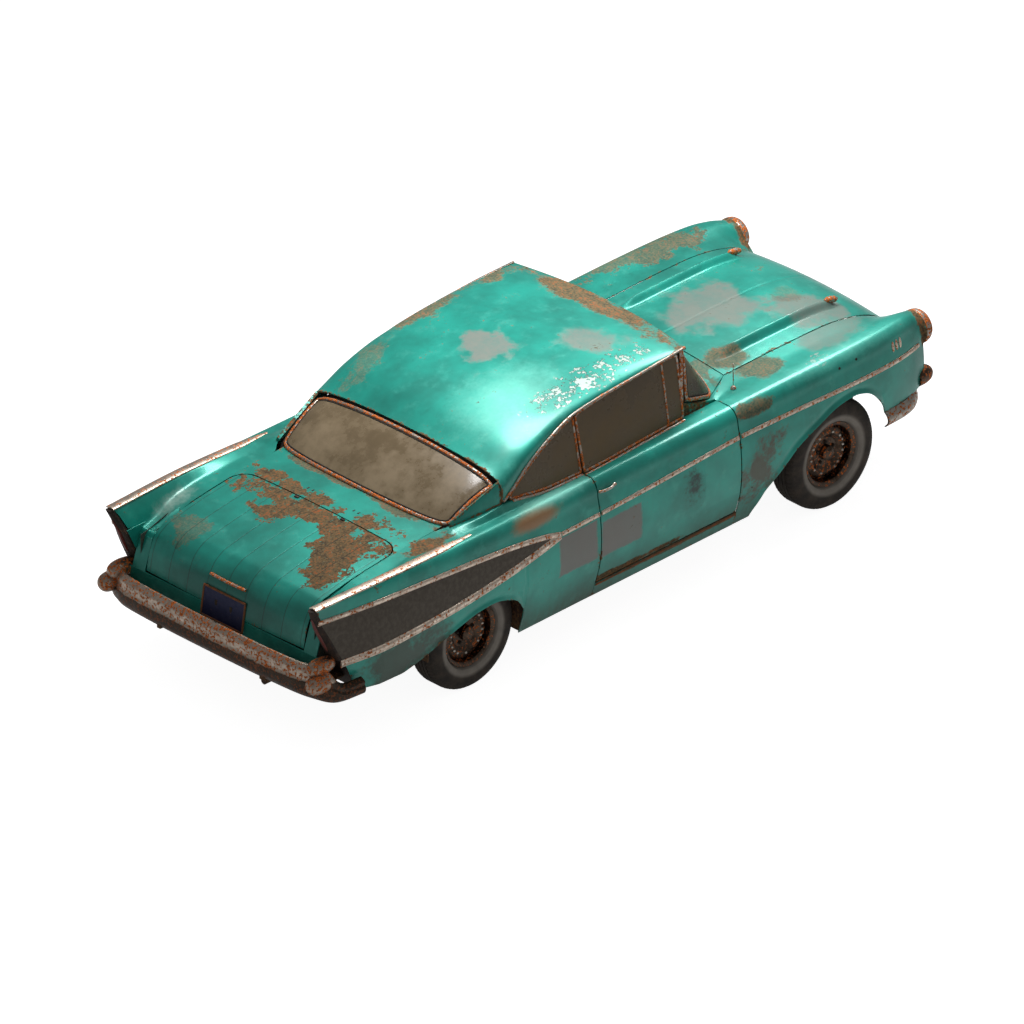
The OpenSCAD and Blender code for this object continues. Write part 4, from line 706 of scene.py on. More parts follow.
# Towards its front the fender's upper part turns into a round pod about the headlamp
def podShape(grid):
    x, y, z = np.moveaxis(grid, -1, 0)
    dy, dz = y - lamp["y"], z - lamp["z"]
    angle = np.degrees(np.arctan2(dz, dy))
    angle = np.where(angle < -120, angle + 360, angle)
    reach = smooth(angle, -62, -18) * (1 - smooth(angle, 150, 186))
    along = np.clip((x - lamp["start"]) / (fenderF - lamp["start"]), 0, 1)
    weight = (1 - np.sqrt(1 - along ** 2)) * reach
    r = np.hypot(dy, dz)
    k = 1 + weight * (lamp["radius"] / np.maximum(r, 1) - 1)
    return np.stack([x, lamp["y"] + dy * k, lamp["z"] + dz * k], -1)


def fenderGrid():
    x = np.linspace(doorF + body["doorGap"] / 2, fenderF, 170)
    y, z = sideRows(x, lowZ(x))
    y = y + archLip(x, z - lowZ(x)[:, None])
    seam = seamY(x) + np.where(x >= hoodR, body["lidGap"] / 2, 0.3)
    top, out, inner = curve(crownZ, x), curve(crownOut, x), np.minimum(curve(crownIn, x), curve(crownOut, x) - 4)
    low = topZ(x, seam)
    row = rounded([(out, top), (inner, top), (mix(inner, seam, 0.5), mix(top, low, 0.5) - 8), (seam, low)], 24, 4)
    return podShape(joinRows(x, y, z, row))


def doorIn(x):
    return curve(glassLowY, x) - 22


def doorGrid():
    x = np.linspace(doorR + body["doorGap"] / 2, doorF - body["doorGap"] / 2, 120)
    y, z = sideRows(x, np.full_like(x, body["doorLow"]))
    top, out = curve(crownZ, x), curve(crownOut, x)
    inner = np.minimum(curve(crownIn, x), out - 4)
    row = rounded([(out, top), (inner, top), (doorIn(x) - 1, np.full_like(x, belt - 9))], 10, 2)
    return joinRows(x, y, z, row)


# The quarter panel's grid, and which of its columns lie inside the crown
def quarterGrid():
    x = np.unique(np.concatenate([np.linspace(tailEnd, tailStart, 46), np.linspace(tailStart, archEnd, 110),
                                  np.linspace(archEnd, doorR - body["doorGap"] / 2, 54)]))
    y, z = sideRows(x, lowZ(x))
    y = y + archLip(x, z - lowZ(x)[:, None])
    top, out = curve(crownZ, x), curve(crownOut, x)
    inner = np.minimum(curve(crownIn, x), out - 4)
    foot, edge, low = curve(quarterFoot, x), curve(quarterEdge, x), curve(seatZ, x)
    row = rounded([(out, top), (inner, top), (foot, low), (edge, low)], 30, 3)
    grid = joinRows(x, y, z, row)
    w = np.clip((tailStart - x) / (tailStart - tailEnd), 0, 1)[:, None]
    down = np.clip((inner[:, None] - grid[..., 1]) / (inner - foot)[:, None], 0, 1)
    down[:, :y.shape[1]] = 0
    grid[..., 0] += w * mix(tailCut(grid[..., 2]), 195, down)
    return grid, slice(y.shape[1], None)


# Rust, primer, stains, painted highlights and painted shade of each panel, in metres in the car's frame
def patch(kind, at, size, **more):
    return dict(kind=kind, at=at, size=size, **more)


patches = dict(
    rightFender=[patch("rust", (0.99, -0.86, 0.955), (0.16, 0.12, 0.06), soft=0.3, amount=0.8),
                 patch("rust", (1.29, -0.62, 1.0), (0.17, 0.12, 0.1), soft=0.35, amount=0.75),
                 patch("stain", (1.02, -0.93, 0.56), (0.17, 0.2, 0.30), soft=0.7, broken=0.9, amount=0.8),
                 patch("primer", (1.9, -0.62, 0.98), (0.34, 0.16, 0.1), soft=0.5, amount=0.7),
                 patch("rust", (2.46, -0.76, 0.86), (0.05, 0.16, 0.15), soft=0.3),
                 patch("chips", (1.62, -0.8, 0.99), (0.1, 0.06, 0.05), amount=0.6),
                 # Painted highlight: a pale cyan strip along the right fender's crest
                 patch("wornAndHighlight", (1.75, -0.82, 0.97), (0.75, 0.09, 0.06), soft=0.9, broken=0.3,
                       tone=colour(120, 216, 198), amount=0.6)],
    leftFender=[patch("rust", (1.5, 0.8, 0.98), (0.5, 0.12, 0.06), soft=0.25, broken=1.2, amount=0.7),
                patch("rust", (2.45, 0.76, 0.86), (0.06, 0.16, 0.15), soft=0.3),
                patch("rust", (2.0, 0.72, 1.0), (0.25, 0.12, 0.08), soft=0.2, broken=1.2, amount=0.7),
                patch("primer", (1.15, 0.93, 0.62), (0.2, 0.2, 0.16), soft=0.4),
                patch("stain", (1.0, 0.93, 0.45), (0.2, 0.2, 0.22), soft=0.6, broken=0.9)],
    rightDoor=[patch("fade", (-0.105, -0.93, 0.625), (0.175, 0.3, 0.125), box="side", soft=0.14, broken=0.12,
                     tone=colour(128, 114, 110), amount=0.85),
               patch("dark", (0.485, -0.93, 0.67), (0.11, 0.2, 0.14), soft=0.9, broken=1.1, amount=0.9),
               patch("wornAndHighlight", (0.72, -0.93, 0.66), (0.145, 0.3, 0.19), box="side", soft=0.05, broken=0.05,
                     amount=0.16),
               patch("rust", (-0.2, -0.9, 0.35), (0.6, 0.2, 0.03), soft=0.3)],
    leftDoor=[patch("primer", (0.3, 0.93, 0.62), (0.3, 0.2, 0.16), soft=0.3),
              patch("rust", (0.1, 0.93, 0.36), (0.5, 0.2, 0.06), soft=0.3),
              patch("dark", (0.6, 0.93, 0.7), (0.12, 0.2, 0.12), soft=0.8, broken=1.1)],
    rightQuarter=[patch("oval", (-0.77, -0.9, 0.955), (0.25, 0.16, 0.075), soft=0.6, broken=0.25, amount=0.8),
                  patch("fade", (-0.455, -0.93, 0.645), (0.165, 0.3, 0.135), box="side", soft=0.14, broken=0.12,
                        tone=colour(128, 114, 110), amount=0.85),
                  patch("stain", (-1.95, -0.92, 0.5), (0.55, 0.2, 0.2), soft=0.8, broken=0.7, tone=colour(58, 60, 46),
                        amount=0.85),
                  patch("rust", (-1.45, -0.75, 0.99), (0.2, 0.08, 0.05), soft=0.3, broken=0.9),
                  # Painted highlight: a pale strip along the right quarter's shoulder crown
                  patch("wornAndHighlight", (-0.6, -0.84, 1.02), (0.45, 0.09, 0.08), soft=0.9, broken=0.25,
                        tone=colour(150, 228, 212), amount=0.7)],
    # Painted highlight: a soft near-white blotch at the left fin's base
    leftQuarter=[patch("oldWhiteAndHighlight", (-2.02, 0.74, 0.9), (0.24, 0.1, 0.12), soft=0.9, broken=0.5, amount=0.8),
                 patch("rust", (-1.5, 0.92, 0.45), (0.4, 0.2, 0.14), soft=0.3, broken=1.0),
                 patch("primer", (-0.6, 0.93, 0.66), (0.22, 0.2, 0.15), soft=0.3)],
    hood=[patch("primer", (1.57, 0.03, 1.03), (0.36, 0.3, 0.2), soft=0.5, broken=0.55, amount=0.9),
          patch("primer", (1.96, -0.36, 1.0), (0.27, 0.2, 0.2), soft=0.5, broken=0.6, amount=0.85),
          patch("rust", (2.0, -0.16, 1.0), (0.12, 0.1, 0.1), soft=0.5, amount=0.35),
          patch("rust", (1.26, -0.43, 1.02), (0.14, 0.12, 0.1), soft=0.4, amount=0.75),
          # Painted highlight along the crest of the hood's left ridge
          patch("wornAndHighlight", (1.5, 0.42, 1.04), (0.5, 0.05, 0.1), soft=0.8, amount=0.7)],
    trunk=[patch("rust", (-1.69, 0.12, 0.99), (0.13, 0.56, 0.2), soft=0.05, broken=1.15),
           patch("rust", (-1.83, -0.44, 0.97), (0.30, 0.17, 0.2), soft=0.05, broken=1.15),
           # Painted shade: a dark teal band over the lid's rear face, which faces away from the lights
           patch("fade", (-2.37, 0, 0.70), (0.055, 0.66, 0.17), soft=0.4, broken=0.1, tone=colour(8, 84, 74),
                 amount=0.75),
           patch("rust", (-2.2, 0.5, 0.9), (0.1, 0.12, 0.2), soft=0.2, broken=0.9, amount=0.5)],
    roof=[patch("rust", (0.63, 0.0, 1.44), (0.11, 0.8, 0.2), soft=0.45, broken=0.75, amount=0.95),
          patch("rust", (0.1, 0.66, 1.42), (0.75, 0.1, 0.2), soft=0.45, broken=0.9, amount=0.85),
          patch("rust", (-0.55, 0.62, 1.33), (0.3, 0.12, 0.2), soft=0.45, broken=0.9, amount=0.5),
          patch("primer", (-0.17, 0.06, 1.48), (0.24, 0.21, 0.2), soft=0.35, broken=0.6, amount=0.95),
          patch("primer", (0.27, -0.31, 1.46), (0.25, 0.2, 0.2), soft=0.5, broken=0.5, amount=0.85),
          # Painted highlight: a pale patch on the roof's right rear where the light's reflection falls
          patch("wornAndHighlight", (-0.42, -0.36, 1.36), (0.5, 0.4, 0.3), soft=1.0, broken=0.25, tone=colour(134, 226, 208),
                amount=0.6),
          patch("chips", (0.0, -0.56, 1.4), (0.5, 0.12, 0.16), amount=1)])

mats = dict(
    chromeRusty=chromeMaterial("rusty chrome", 0.92),
    chromeTired=chromeMaterial("tired chrome", 0.55),
    glassSide=glassMaterial("dusty side glass", colour(90, 72, 42), colour(102, 82, 50), 0.96),
    glassRear=glassMaterial("dusty rear glass", colour(106, 91, 68), colour(136, 119, 93), 0.95),
    glassFront=glassMaterial("dusty windshield", colour(76, 63, 45), colour(104, 90, 68), 0.85),
    lens=glassMaterial("dull lamp glass", colour(160, 158, 140), colour(196, 190, 168), 0.75),
    redLens=plainMaterial("faded red lens", colour(110, 22, 14), 0.3),
    underbody=metalMaterial("rusty underbody", colour(58, 40, 30), colour(92, 60, 40), rust=0.7),
    iron=metalMaterial("dirty iron", colour(40, 36, 32), colour(70, 58, 48), rust=0.35),
    rim=chromeMaterial("rusty wheel steel", 0.45, colour(52, 40, 32)),
    rubber=rubberMaterial("dirty rubber"),
    seal=plainMaterial("dark seal", colour(26, 24, 22), 0.85),
    cloth=clothMaterial("worn seat cloth", colour(120, 96, 68), colour(86, 66, 46)),
    vinyl=clothMaterial("aged vinyl", colour(58, 78, 66), colour(44, 54, 46)),
    interior=metalMaterial("dusty painted metal", colour(44, 62, 54), colour(70, 74, 62), rust=0.2, metal=0.1),
    knob=plainMaterial("aged ivory plastic", colour(176, 164, 132), 0.45),
    dial=plainMaterial("faded dial", colour(34, 34, 32), 0.4),
    plate=metalMaterial("blank dark blue plate", colour(26, 34, 72), colour(40, 44, 78), rough=0.5, rust=0.05,
                        scale=30),
    chromeTrim=chromeMaterial("speckled trim", 0.5, colour(236, 218, 200)),
    chromeBullet=chromeMaterial("pitted bullet chrome", 0.8, colour(176, 158, 142)),
    # The rear bar's lower half, which faces down, is darkened below 0.535 m as painted shade
    bumperRear=chromeMaterial("rear bumper chrome, painted shade below", 0.66, colour(206, 190, 174), below=0.535),
    guard=chromeMaterial("dark guard chrome", 0.6, colour(70, 50, 38)),
    rustStrip=metalMaterial("rusted strip", colour(150, 88, 52), colour(96, 56, 34), rust=0.8, scale=30),
    housing=metalMaterial("dark rusty housing", colour(40, 32, 27), colour(64, 48, 38), rust=0.25, scale=30),
    rocker=paintMaterial("rocker paint", [patch("rust", (0.3, -0.9, 0.31), (0.8, 2.0, 0.02), soft=0.3, amount=0.8)],
                         dirtTop=0.4),
    tailPaint=paintMaterial("inner paint", [], edgeRust=0.0, dirtTop=0.5),
    insert=metalMaterial("speckled dark insert", colour(82, 74, 64), colour(98, 90, 80), rough=0.7, metal=0.1,
                         rust=-0.1, scale=40))

for look, nodes in dict(
        underbody=("chassis_frame", "exhaust", "fuel_tank", "leaf_springs", "floor_pan"), chromeTired=("grille",),
        iron=("engine", "rear_axle", "driveshaft", "front_suspension", "left_knuckle", "right_knuckle", "tie_rod"),
        tailPaint=("inner_fenders",), interior=("dashboard",)).items():
    for node in nodes:
        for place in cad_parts[node].material_slots:
            place.material = mats[look]
print("materials made")

# Side panels: fenders, doors and quarter panels of both sides
fender, door, (quarter, quarterInner) = fenderGrid(), doorGrid(), quarterGrid()
doorWall = np.stack([door[..., 0], np.broadcast_to((doorIn(door[:, 0, 0]) - 2)[:, None], door.shape[:2]),
                     np.broadcast_to(np.linspace(body["doorLow"] + 1, belt - 12, door.shape[1]), door.shape[:2])], -1)
for name, side in sides.items():
    panel(f"{name}FrontFender", fender, body["skin"], paintMaterial(f"{name} fender paint", patches[f"{name}Fender"]),
          side=side, replaces=[f"{name}_front_fender"], slot="paint")
    panel(f"{name}QuarterPanel", quarter, body["skin"], paintMaterial(f"{name} quarter paint",
                                                                      patches[f"{name}Quarter"]), side=side,
          replaces=[f"{name}_quarter_panel"], slot="paint")
    shell(f"{name}DoorShell", door, doorWall, paintMaterial(f"{name} door paint", patches[f"{name}Door"]),
          f"{name}_door", side, replaces=[f"{name}_door"], slot="paint",
          edge=np.tile(borderDistance(door).ravel(), 2))
print("side panels made")


# Hood: the crowned top with two ridges that rise and fall along their length
def ridgeRise(x, y):
    across = smooth(body["ridgeHalf"] - np.abs(np.abs(y) - body["ridgeY"]), 0, body["ridgeHalf"])
    along = np.minimum(smooth(x, hoodR + 40, hoodR + 230), 1 - smooth(x, axF + 380, axF + 480))
    return body["ridgeRise"] * across * along


hoodX = np.linspace(hoodR + body["lidGap"] / 2, hoodF, 130)
hoodY = np.linspace(-1, 1, 121) * (body["hoodSide"] - body["lidGap"] / 2)
gx, gy = np.meshgrid(hoodX, hoodY, indexing="ij")
hood = np.stack([gx, gy, topZ(gx, gy) + ridgeRise(gx, gy) - 3 * np.exp(-(gy / 5) ** 2)], -1)
panel("hoodPanel", hood, body["lidGap"] / 2, paintMaterial("hood paint", patches["hood"]), "hood", replaces=["hood"],
      slot="paint")

# Cowl: from the foot of the windshield to the hood's rear edge
shieldLow = [[0, 1030], [250, 1018], [450, 985], [600, 926], [688, 850]]
v, u = np.meshgrid(np.linspace(-1, 1, 90), np.linspace(0, 1, 16))
rearY, frontX = v * 688, hoodR - body["lidGap"] / 2
cowlX = mix(curve(shieldLow, np.abs(rearY)) - 34, frontX, u)
cowlY = mix(rearY, v * seamY(frontX), u)
cowl = np.stack([cowlX, cowlY, topZ(cowlX, cowlY) - 4 * np.exp(-((u - 0.5) / 0.08) ** 2)], -1)
cowlRust = patch("rust", (1.0, 0.0, 1.03), (0.1, 0.8, 0.1), soft=0.3, broken=1.1, amount=0.6)
panel("cowlPanel", cowl, 5, paintMaterial("cowl paint", [cowlRust]), replaces=["cowl"], slot="paint")

# Trunk lid: a side view carried across its width, bowed by the deck's crown, with rounded front corners
lidX = np.array([trunkF - 4, axR - 520, axR - 680, axR - 800, axR - 930, axR - 1030])
# Each point of the side view: place, height, and the share of the crown that bows it backward and not upward
lidPath = [(x, float(curve(deckSideZ, x)), 0.0) for x in lidX] + [
    (trunkR, belt - 128, 0.2), (trunkR - 26, belt - 160, 0.7), (trunkR - 52, belt - 220, 1),
    (trunkR - 70, belt - 290, 1), (trunkR - 80, 655, 1)]
lidRow = rounded([tuple(np.array([c]) for c in point) for point in lidPath], 110, 6)[:, 0]
px, pz, pf = lidRow.T
lidV = np.linspace(1, -1, 101)
corner = 110
fromFront = np.clip((trunkF - 4) - px, 0, corner)
lidHalf = body["deckSide"] - 4 - (corner - np.sqrt(corner ** 2 - (corner - fromFront) ** 2)) * (pf < 0.5)
gy = lidHalf[:, None] * lidV
crown = body["deckCrown"] * (1 - (gy / body["deckSide"]) ** 2)
trunk = np.stack([px[:, None] - crown * pf[:, None], gy, pz[:, None] + crown * (1 - pf[:, None])], -1)
panel("trunkLid", trunk, 4, paintMaterial("trunk paint", patches["trunk"], creases=0.152, dirtTop=0.3), "trunk_lid",
      replaces=["trunk_lid"], slot="paint")

# Rear deck between the back window and the lid, and the two fillers round the lid's corners
gv, gu = np.meshgrid(np.linspace(1, -1, 81), np.linspace(0, 1, 18))
deckY = gv * (body["deckSide"] + 3.7)
deckX = mix(trunkF + 4, deckF + 60 * gv ** 2, gu)
deckPaint = paintMaterial("deck paint", [patch("rust", (-1.56, 0.15, 0.99), (0.09, 0.5, 0.1), soft=0.08, broken=1.1),
                                         patch("rust", (-1.33, 0.0, 1.0), (0.05, 0.8, 0.1), soft=0.3, broken=1.0,
                                               amount=0.8)])
panel("rearDeck", np.stack([deckX, deckY, deckTop(deckX, deckY)], -1), 4, deckPaint, replaces=["rear_deck"],
      slot="paint")
for name, side in sides.items():
    a, t = spans(0, math.pi / 2, 25, 8)
    r0, r1 = corner + body["lidGap"], (corner + body["lidGap"]) / np.maximum(np.sin(a), np.cos(a))
    fx = trunkF - 4 - corner + np.sin(a) * mix(r0, r1, t)
    fy = body["deckSide"] - 4 - corner + np.cos(a) * mix(r0, r1, t)
    panel(f"{name}LidCorner", np.stack([fx, fy, deckTop(fx, fy)], -1), 4, deckPaint, side=side, slot="paint")
print("hood, cowl and trunk made")

# Roof: arch of a power of the cosine between the two drip rails, its header bowed forward
bow = [[doorF - 740, 0], [doorF - 570, 0], [doorF - 400, 24], [roofF, 78]]
s = np.linspace(-1, 1, 121)
a = np.sign(s) * (1 - (1 - np.abs(s)) ** 1.9) * math.pi / 2
rx = np.linspace(roofR, roofF, 120)[:, None]
ry = -curve(roofEdgeY, rx) * np.sin(a)
edgeZ = curve(roofEdgeZ, rx)
rz = edgeZ + (curve(roofCentre, rx) - edgeZ) * np.maximum(np.cos(a), 0) ** curve(roofShape, rx)
roof = np.stack([rx + curve(bow, rx) * (1 - (ry / 690) ** 2), ry, rz], -1)
roofPaint = paintMaterial("roof paint", patches["roof"], edgeRust=0.4)
panel("roofPanel", roof, body["roofSkin"], roofPaint, replaces=["roof"], slot="paint")
sx, f = spans(windowR, roofR - 0.3, 40, 18)
u = (sx - windowR) / (roofR - windowR)
yb, yt = mix(708, halfW - 172, u), mix(700, halfW - 196, u)
zb = curve(seatZ, sx) + 0.3
zt = np.maximum(zb + 12, mix(belt + 46, belt + 190, u))
sail = np.stack([sx, mix(yb, yt, f * f), mix(zb, zt, f)], -1)
for name, side in sides.items():
    panel(f"{name}RearPillar", sail, 20, roofPaint, side=side, slot="paint")
    post = through([(607, 699, 1000), (612, 692, 1150), (617, 684, 1290), (622, 676, 1424)], 24)
    sweep(f"{name}FrontPillar", post, (0, 1, 0), roundProfile(11, 16) * (1.25, 0.9), "chromeRusty", side=side)
    foot = [(593, 992), (830, 992), (830, 948), (868, 948), (868, 1006), (830, 1014), (760, 1030), (690, 1050),
            (621, 1078), (593, 1080)]
    plate(f"{name}PillarFoot", foot, "xz", 689, 709, roofPaint, side=side, slot="paint")
print("roof made")


# Border of a grid as one ring of points with the surface's normals, evenly spaced and its corners rounded
def borderRing(grid, count=240, inset=0.0, soft=6):
    normals = gridNormals(grid)
    ring, normal = (np.concatenate([g[0], g[1:, -1], g[-1, -2::-1], g[-2:0:-1, 0]]) for g in (grid, normals))
    steps = np.linalg.norm(np.roll(ring, -1, 0) - ring, axis=1)
    places = np.concatenate([[0], np.cumsum(steps)])
    want = np.linspace(0, places[-1], count, endpoint=False)
    ring, normal = (np.stack([np.interp(want, places, np.append(row[:, k], row[0, k])) for k in range(3)], -1)
                    for row in (ring, normal))
    if inset:
        across = np.cross(np.roll(ring, -1, 0) - np.roll(ring, 1, 0), normal)
        across = across / np.linalg.norm(across, axis=1, keepdims=True)
        if np.einsum("ij,ij->", across, ring - ring.mean(0)) > 0:
            across = -across
        ring = ring + across * inset
    for _ in range(soft):
        ring = (np.roll(ring, 1, 0) + 2 * ring + np.roll(ring, -1, 0)) / 4
    return ring, normal * (-1 if normal[:, 2].sum() < 0 else 1)


# Windshield, wrapped round to its posts: each row bulges forward and leans back to the roof
shieldBottom = [[0, 1030, 0], [0.25, 1018, 250], [0.5, 985, 450], [0.72, 915, 610], [0.86, 838, 686],
                [1, doorF - 240, 704]]
shieldTop = [[0, 706, 0], [0.25, 702, 210], [0.5, 690, 410], [0.72, 672, 560], [0.86, 656, 630],
             [1, doorF - 226, 668]]
rearGlassLow = [[0, deckF + 4, 0], [0.3, deckF + 8, 230], [0.6, deckF + 24, 460], [0.85, deckF + 54, 620],
                [1, deckF + 96, 676]]
rearGlassTop = [[0, roofR - 8, 0], [0.3, roofR - 8, 230], [0.6, roofR - 8, 450], [0.85, roofR - 8, 630],
                [1, roofR - 8, 712]]
rearGlassTopZ = [[0, 1244], [0.3, 1240], [0.6, 1226], [0.85, 1200], [1, 1164]]


def column(table, index, place):
    return curve([[row[0], row[index]] for row in table], place)


def shieldGrid(thick):
    v, s = np.meshgrid(np.linspace(1, 0, 30), np.linspace(1, -1, 111), indexing="ij")
    a = np.abs(s)
    xb, yb, xt, yt = (column(table, index, a) for table in (shieldBottom, shieldTop) for index in (1, 2))
    zb = np.where(xb > doorF - 30, topZ(xb, yb) + 3.5, belt + 11 + (doorF - 30 - xb) * 0.3)
    q = 72 * v * (1 - v) * (1 - a)
    return np.stack([mix(xb, xt, v) + q - thick * (1 - a * 0.8), (mix(yb, yt, v) - thick * a) * np.sign(s),
                     mix(zb, belt + mix(410, 398, a), v)], -1)


def rearGrid(thick):
    v, s = np.meshgrid(np.linspace(0, 1, 26), np.linspace(1, -1, 101), indexing="ij")
    a = np.abs(s)
    xb, yb, xt, yt = (column(table, index, a) for table in (rearGlassLow, rearGlassTop) for index in (1, 2))
    zb = deckTop(xb, np.minimum(yb, body["deckSide"])) + 1.3
    drop = thick * np.clip(v * 12, 0, 1) * (1 - a * 0.5)
    return np.stack([mix(xb, xt, v) + 0.8 * thick * (1 - v), (mix(yb, yt, v) - thick * a) * np.sign(s),
                     mix(zb, curve(rearGlassTopZ, a), v) + 88 * v * (1 - v) - drop], -1)


for name, node, grid, back, glass, trimWide in (
        ("windshield", "windshield", shieldGrid(0), shieldGrid(body["glass"]), "glassFront", 24),
        ("rearWindow", "rear_window", rearGrid(0), rearGrid(body["glass"]), "glassRear", 22)):
    shell(name + "Glass", grid, back, mats[glass], replaces=[node], slot="glass")
    ring, normal = borderRing(grid, inset=10)
    sweep(name + "Trim", ring + normal * 1.5, normal, halfRound(trimWide, 7, 3), "chromeRusty", loop=True)
    if name == "rearWindow":
        ring, normal = borderRing(grid, inset=-11)
        sweep(name + "Gasket", ring - normal * 6, normal, halfRound(56, 5, 3), "seal", loop=True, slot="rubber")
    ring, normal = borderRing(grid, inset=27)
    sweep(name + "Seal", ring + normal * 0.5, normal, halfRound(10, 3, 2), "seal", loop=True, slot="rubber")


# Side glass: flat from the belt to the drip rail, with bright frames on its edges
def sideGlass(x, low, base):
    v, gx = np.meshgrid(np.linspace(0, 1, 16), x, indexing="ij")
    gy = mix(base(gx), curve(glassTopY, gx), v)
    gz = mix(low(gx), curve(dripZ, gx) - body["glassGap"], v)
    return np.stack([gx, gy, gz], -1)


doorPane = sideGlass(np.linspace(doorR + 3.5, doorF - 284, 60), lambda x: np.full_like(x, belt - 1.7),
                     lambda x: curve(glassLowY, x))
quarterPane = sideGlass(np.linspace(axR + 372, doorR - 3.5, 44), lambda x: curve(seatZ, x) + 2,
                        lambda x: curve(quarterEdge, x) + 16)
for name, side in sides.items():
    for part, pane, owner, node in (("Door", doorPane, f"{name}_door", f"{name}_door_glass"),
                                    ("Quarter", quarterPane, "root", "quarter_glass")):
        shell(f"{name}{part}Glass", pane, pane - (0, body["glass"], 0), "glassSide", owner, side,
              replaces=[node] if part == "Door" or side > 0 else (), slot="glass")
        ring, normal = borderRing(pane, 160, 7.5, 3)
        ring[:, 2] = np.where(pane[0, :, 2].mean() + 30 > ring[:, 2], ring[:, 2] + 4, ring[:, 2])
        sweep(f"{name}{part}GlassFrame", ring + (0, 1.0, 0), (0, 1, 0.12), halfRound(15, 5, 3), "chromeRusty", owner,
              loop=True, side=side)
    bar = through([(456, curve(glassLowY, 456) + 1, belt + 6), (457, 718, 1090), (460, 690, 1220), (461, 676, 1340),
                   (462, 666, 1401)], 30)
    bar[:, 1] = mix(curve(glassLowY, bar[:, 0]), curve(glassTopY, bar[:, 0]),
                    (bar[:, 2] - belt) / (curve(dripZ, bar[:, 0]) - body["glassGap"] - belt)) + 1
    sweep(f"{name}VentBar", bar, (0, 1, 0.1), halfRound(14, 6, 2), "chromeRusty", f"{name}_door", side=side)
    # Drip rail over the side windows, down the rear pillar
    x = np.linspace(roofR + 10, roofF - 2, 90)
    rail = np.stack([x, curve(roofEdgeY, x) + 2, curve(roofEdgeZ, x) + 3], -1)
    sweep(f"{name}DripRail", rail, (0, 1, 0.25), halfRound(15, 9, 5), "chromeTired", side=side)
    # Belt strip along the foot of the glass
    for part, lo, hi, owner in (("Door", doorR + 8, doorF - 292, f"{name}_door"),
                                ("Quarter", axR + 384, doorR - 9, "root")):
        x = np.linspace(lo, hi, 50)
        if part == "Door":
            strip = np.stack([x, curve(glassLowY, x) + 13, np.full_like(x, belt - 4.0)], -1)
        else:
            strip = np.stack([x, curve(quarterEdge, x) + 30, curve(seatZ, x) + 2], -1)
        sweep(f"{name}{part}BeltStrip", strip, (0, 0.45, 1), halfRound(17, 6, 3), "chromeTired", owner, side=side)
print("glass made")

# Side trim: one bright line from the headlamp to the wedge, and the wedge's own borders
spearZ = [[-620, 793], [-275, 798], [100, 808], [500, 822], [862, 834], [1300, 828], [1800, 812], [2242, 797],
          [2390, 794]]
wedgeTop = [[-2475, 930], [-2000, 922], [-1566, 901], [-1000, 862], [-700, 822], [-640, 806], [-588, 793]]
strips = dict(spear=(28, 8, 3), wedgeTop=(34, 9, 3), wedgeLow=(52, 10, 3), finCap=(62, 9, 3, 13), rocker=(16, 6, 3),
              louvre=(20, 9, 3))
louvres = dict(places=(2150, 2183, 2216), low=862, high=926)
grip = dict(rear=-258, front=-142, button=-132, z=930.0, bow=22)
wedgeLow = [[-2312, 614], [-2000, 630], [-1445, 664], [-1000, 716], [-700, 768], [-588, 793]]


def onSkin(x, z, lift=0.0):
    y = skinY(x, z)
    return np.stack([x, y, z], -1) + skinNormal(x, z) * lift


def skinGrid(x, z, lift):
    return onSkin(x.ravel(), z.ravel(), lift).reshape(*x.shape, 3)


# A place on the skin, and the direction straight out of it there
def skinSpot(x, z):
    at = np.array([float(x)]), np.array([float(z)])
    return onSkin(*at)[0], skinNormal(*at)[0]


def sideStrip(name, x, z, profile, material, owner="root", side=1, lift=0.5):
    path = onSkin(x, z, lift)
    sweep(name, path, skinNormal(x, z), profile, material, owner, side=side)


